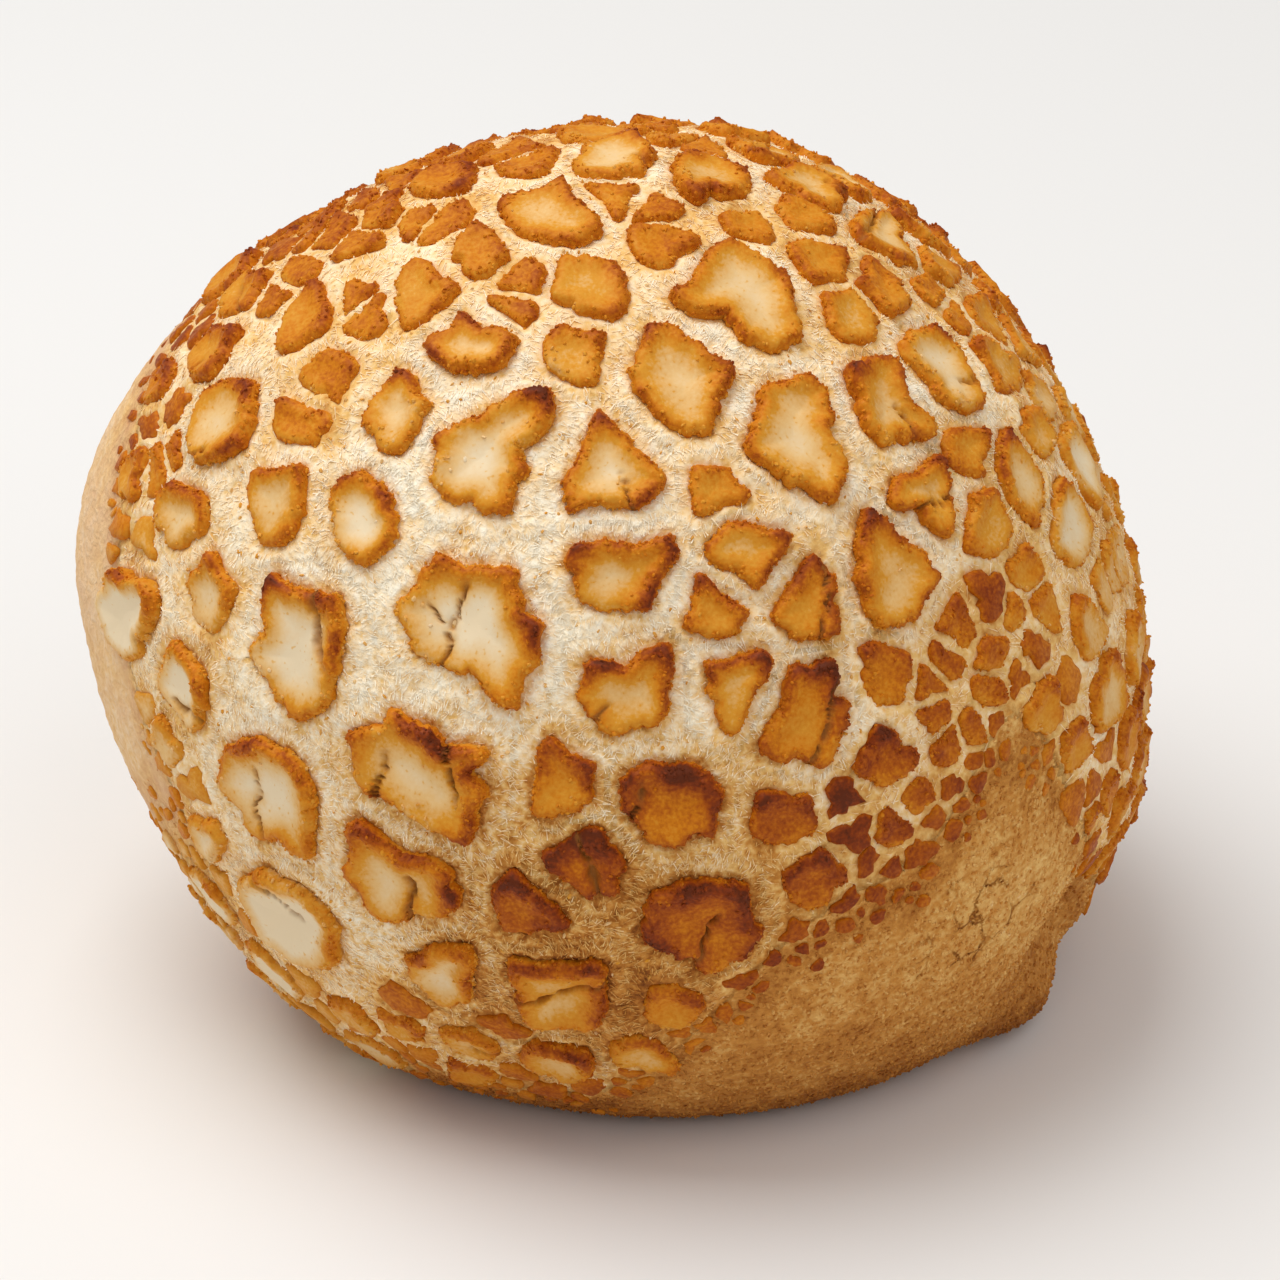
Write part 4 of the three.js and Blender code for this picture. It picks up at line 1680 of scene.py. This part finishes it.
@dataclass
class Scatter:
    """Small bits scattered over a piece by geometry nodes, thick where a value of its points is high."""

    name: str
    bit: Bit
    mask: str
    per_mm2: float
    length: float
    thickness: float
    seed: int
    bake_range: Pair
    arch: float = 0.0
    keep_bake: float = 1.0
    jitter: float = 0.7
    scales: Pair = (0.5, 1.5)

    def _interface(self, tree: Tree) -> dict[str, float | int]:
        """Args:
            tree: Tree that gets them.

        Returns:
            Values for the modifier, by socket identifier.
        """
        tree.interface.new_socket("Geometry", in_out="INPUT", socket_type="NodeSocketGeometry")
        tree.interface.new_socket("Geometry", in_out="OUTPUT", socket_type="NodeSocketGeometry")
        sizes = {
            "Density": self.per_mm2 / MM**2,
            "Length": self.length * MM,
            "Thickness": self.thickness * MM,
            "Arch": self.arch * MM,
            "Seed": self.seed,
        }
        values = {}
        for key, value in sizes.items():
            kind = "NodeSocketInt" if isinstance(value, int) else "NodeSocketFloat"
            values[tree.interface.new_socket(key, in_out="INPUT", socket_type=kind).identifier] = value
        return values

    @staticmethod
    def _grain(add: AddNode, sizes: bpy.types.NodeOutputs) -> Socket:
        """Makes a rough grain.

        Args:
            add: Adds a node to the tree.
            sizes: The tree's inputs.

        Returns:
            Its mesh, as wide as the length.
        """
        ball = add("GeometryNodeMeshIcoSphere", {"Radius": 0.5, "Subdivisions": 1})
        scale = {"X": sizes["Length"], "Y": sizes["Thickness"], "Z": sizes["Thickness"]}
        return add("GeometryNodeTransform", {"Geometry": ball, "Scale": add("ShaderNodeCombineXYZ", scale)})

    @staticmethod
    def _strand(add: AddNode, sizes: bpy.types.NodeOutputs) -> Socket:
        """Makes a tapered strand.

        Args:
            add: Adds a node to the tree.
            sizes: The tree's inputs.

        Returns:
            Its mesh, along X and arched up in the middle.
        """
        half = add(MATHS, {"operation": "MULTIPLY", 0: sizes["Thickness"], 1: 0.5})
        shape = {"Vertices": 3, "Side Segments": 2, "Radius Bottom": half, "Depth": sizes["Length"]}
        lying = {"Rotation": (0.0, math.pi / 2, 0.0), "Geometry": add("GeometryNodeMeshCone", shape)}
        x = add("ShaderNodeSeparateXYZ", {0: add("GeometryNodeInputPosition", {})}, "X")
        share = add(MATHS, {"operation": "DIVIDE", 0: x, 1: sizes["Length"]})
        turned = add(MATHS, {"operation": "MULTIPLY_ADD", 0: share, 1: math.pi, 2: math.pi / 2})
        bow = add(MATHS, {"operation": "SINE", 0: turned})
        rise = add(MATHS, {"operation": "MULTIPLY", 0: bow, 1: sizes["Arch"]})
        offset = add("ShaderNodeCombineXYZ", {"Z": rise})
        laid = add("GeometryNodeTransform", lying)
        return add("GeometryNodeSetPosition", {"Geometry": laid, "Offset": offset})

    def _tree(self, material: Finish) -> tuple[Tree, dict[str, float | int]]:
        """Builds the nodes.

        Args:
            material: Finish of the bits.

        Returns:
            The tree, and the modifier's values by socket identifier.
        """
        tree = bpy.data.node_groups.new(self.name, "GeometryNodeTree")
        values = self._interface(tree)
        add = partial(add_node, tree)
        sizes = add("NodeGroupInput", {}).node.outputs
        mask = add(NAMED, {"data_type": "FLOAT", "Name": self.mask})
        density = add(MATHS, {"operation": "MULTIPLY", 0: mask, 1: sizes["Density"]})
        over = {"Mesh": sizes["Geometry"], "Density": density, "Seed": sizes["Seed"]}
        spread = add("GeometryNodeDistributePointsOnFaces", over, "Points")
        # Each bit keeps some of the bake below it
        low, high = self.bake_range
        tone = add(RANDOM, {2: low, 3: high, "Seed": self.seed + 3}, 1)
        ground = add(NAMED, {"data_type": "FLOAT", "Name": "bake"})
        bake = add(MATHS, {"operation": "MULTIPLY_ADD", 0: ground, 1: self.keep_bake, 2: tone})
        stored = {"data_type": "FLOAT", "domain": "POINT", "Name": "bake", "Geometry": spread, "Value": bake}
        points = add("GeometryNodeStoreNamedAttribute", stored)
        # Strands lie across the cracks, and grains lie anyhow
        strands = self.bit is Bit.STRAND
        low, high = (-self.jitter, self.jitter) if strands else (0.0, 6.28)
        drawn = {"data_type": "FLOAT_VECTOR", 0: (low,) * 3, 1: (high,) * 3, "Seed": self.seed + 1}
        jitter = add(RANDOM, drawn)
        if strands:
            pull = add(NAMED, {"data_type": "FLOAT_VECTOR", "Name": "pull"})
            swung = add("ShaderNodeVectorMath", {0: pull, 1: jitter})
            flat = spread.node.outputs["Rotation"]
            across = {"axis": "X", "pivot_axis": "Z", "Rotation": flat, "Vector": swung}
            turn = add("FunctionNodeAlignRotationToVector", across)
        else:
            turn = add("FunctionNodeEulerToRotation", {0: jitter})
        low, high = self.scales
        drawn = {"data_type": "FLOAT_VECTOR", 0: (low,) * 3, 1: (high,) * 3, "Seed": self.seed + 2}
        bit = (self._strand if strands else self._grain)(add, sizes)
        bits = {"Points": points, "Instance": bit, "Rotation": turn, "Scale": add(RANDOM, drawn)}
        real = add("GeometryNodeRealizeInstances", {0: add("GeometryNodeInstanceOnPoints", bits)})
        done = add("GeometryNodeSetMaterial", {"Geometry": real, "Material": material})
        feed(tree.nodes.new("NodeGroupOutput"), {0: done})
        return tree, values

    def build(self, ground: Piece, material: Finish) -> Piece:
        """Scatters the bits over a piece.

        Args:
            ground: Piece that they lie on.
            material: Their finish.

        Returns:
            The bits as a piece of plain mesh.
        """
        tree, values = self._tree(material)
        host = bpy.data.objects.new(self.name + "_host", ground.data)
        bpy.context.scene.collection.objects.link(host)
        modifier = host.modifiers.new(self.name, "NODES")
        modifier.node_group = tree
        for key, value in values.items():
            modifier[key] = value
        evaluated = host.evaluated_get(bpy.context.evaluated_depsgraph_get())
        mesh = bpy.data.meshes.new_from_object(evaluated)
        host.modifiers.clear()
        bpy.data.objects.remove(host)
        return place(self.name, mesh, material)


@dataclass
class Studio:
    """Floor, soft light and camera around the roll."""

    floor_size: float = 3.0
    aim: Triple = (0.2, 0.0, 36.7)
    elevation: float = 28.0
    distance: float = 620.0
    lens: float = 167.2
    sensor: float = 36.0
    sky: float = 0.44
    key_spot: Triple = (-0.3, 0.05, 0.85)
    key_size: float = 0.7
    key_power: float = 6.1
    fill_spot: Triple = (0.4, -0.55, 0.75)
    fill_size: float = 0.8
    fill_power: float = 2.1

    def _floor(self) -> None:
        """Lays the floor."""
        half = self.floor_size / 2
        corners = [(-half, -half, 0), (half, -half, 0), (half, half, 0), (-half, half, 0)]
        mesh = bpy.data.meshes.new("floor")
        mesh.from_pydata(corners, [], [(0, 1, 2, 3)])
        mesh.materials.append(PaleFloor().material())
        floor = bpy.data.objects.new("floor", mesh)
        bpy.context.scene.collection.objects.link(floor)

    def _light(self, name: str, spot: Triple, size: float, power: float) -> None:
        """Hangs a soft light that faces the roll.

        Args:
            name: Name of the light.
            spot: Its place in metres.
            size: Width of its square in metres.
            power: Watts.
        """
        light = bpy.data.lights.new(name, "AREA")
        light.size = size
        light.energy = power
        lamp = bpy.data.objects.new(name, light)
        lamp.location = spot
        lamp.rotation_euler = (Vector((0, 0, 0.04)) - Vector(spot)).to_track_quat("-Z", "Y").to_euler()
        bpy.context.scene.collection.objects.link(lamp)

    def _sky(self) -> None:
        """Fills the surroundings with even white light."""
        world = bpy.data.worlds.new("soft_white")
        world.use_nodes = True
        feed(world.node_tree.nodes["Background"], {"Color": (1.0, 1.0, 1.0, 1.0), "Strength": self.sky})
        bpy.context.scene.world = world
        bpy.context.scene.view_settings.view_transform = "Standard"

    def _camera(self) -> None:
        """Sets the camera at the photograph's viewing angle."""
        camera = bpy.data.cameras.new("camera")
        camera.lens = self.lens
        camera.sensor_width = self.sensor
        eye = bpy.data.objects.new("camera", camera)
        back = Vector((0, -math.cos(math.radians(self.elevation)), math.sin(math.radians(self.elevation))))
        eye.location = (Vector(self.aim) + back * self.distance) * MM
        eye.rotation_euler = (-back).to_track_quat("-Z", "Y").to_euler()
        bpy.context.scene.collection.objects.link(eye)
        bpy.context.scene.camera = eye

    def build(self) -> None:
        """Sets up the floor, the light and the camera."""
        self._floor()
        self._light("key", self.key_spot, self.key_size, self.key_power)
        self._light("fill", self.fill_spot, self.fill_size, self.fill_power)
        self._sky()
        self._camera()


def main() -> None:
    """Builds the roll piece by piece and reports each."""
    logging.basicConfig(level=logging.INFO, format="%(message)s")
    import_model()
    form = DoughForm()
    crackle = Crackle(form)
    LOG.info("%d plates and %d flakes", crackle.plate_count, len(crackle.radii) - crackle.plate_count)
    paste = RicePasteCrust().material()
    crumb = TornCrumb().material()
    strands = TornCrumb(name="crumb_strands", lighten=0.15, contrast=0.4).material()
    dough = Dough(form, crackle).build(crumb)
    for seed, zone in enumerate(Zone, 10):
        plates = CrustPlates(crackle, zone=zone).build(paste)
        name = f"rim_grains_{zone.label}"
        Scatter(name, Bit.GRAIN, "grains", 2.2, 0.46, 0.36, seed, (-0.12, 0.08)).build(plates, paste)
    FringeFlakes(crackle).build(paste)
    for seed, half in enumerate(("front", "back"), 20):
        name, mask = f"crack_strands_{half}", f"cracks_{half}"
        torn = Scatter(name, Bit.STRAND, mask, 4.2, 1.05, 0.115, seed, (-0.14, 0.04), arch=0.12)
        torn.build(dough, strands)
    Scatter("bare_scales", Bit.GRAIN, "bare", 2.4, 0.5, 0.34, 30, (-0.06, 0.16)).build(dough, strands)
    loose = Scatter("loose_crumbs", Bit.GRAIN, "cracks", 0.14, 0.6, 0.32, 40, (0.1, 0.3), keep_bake=0.0)
    loose.build(dough, paste)
    Studio().build()
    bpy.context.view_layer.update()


if __name__ == "__main__":
    main()
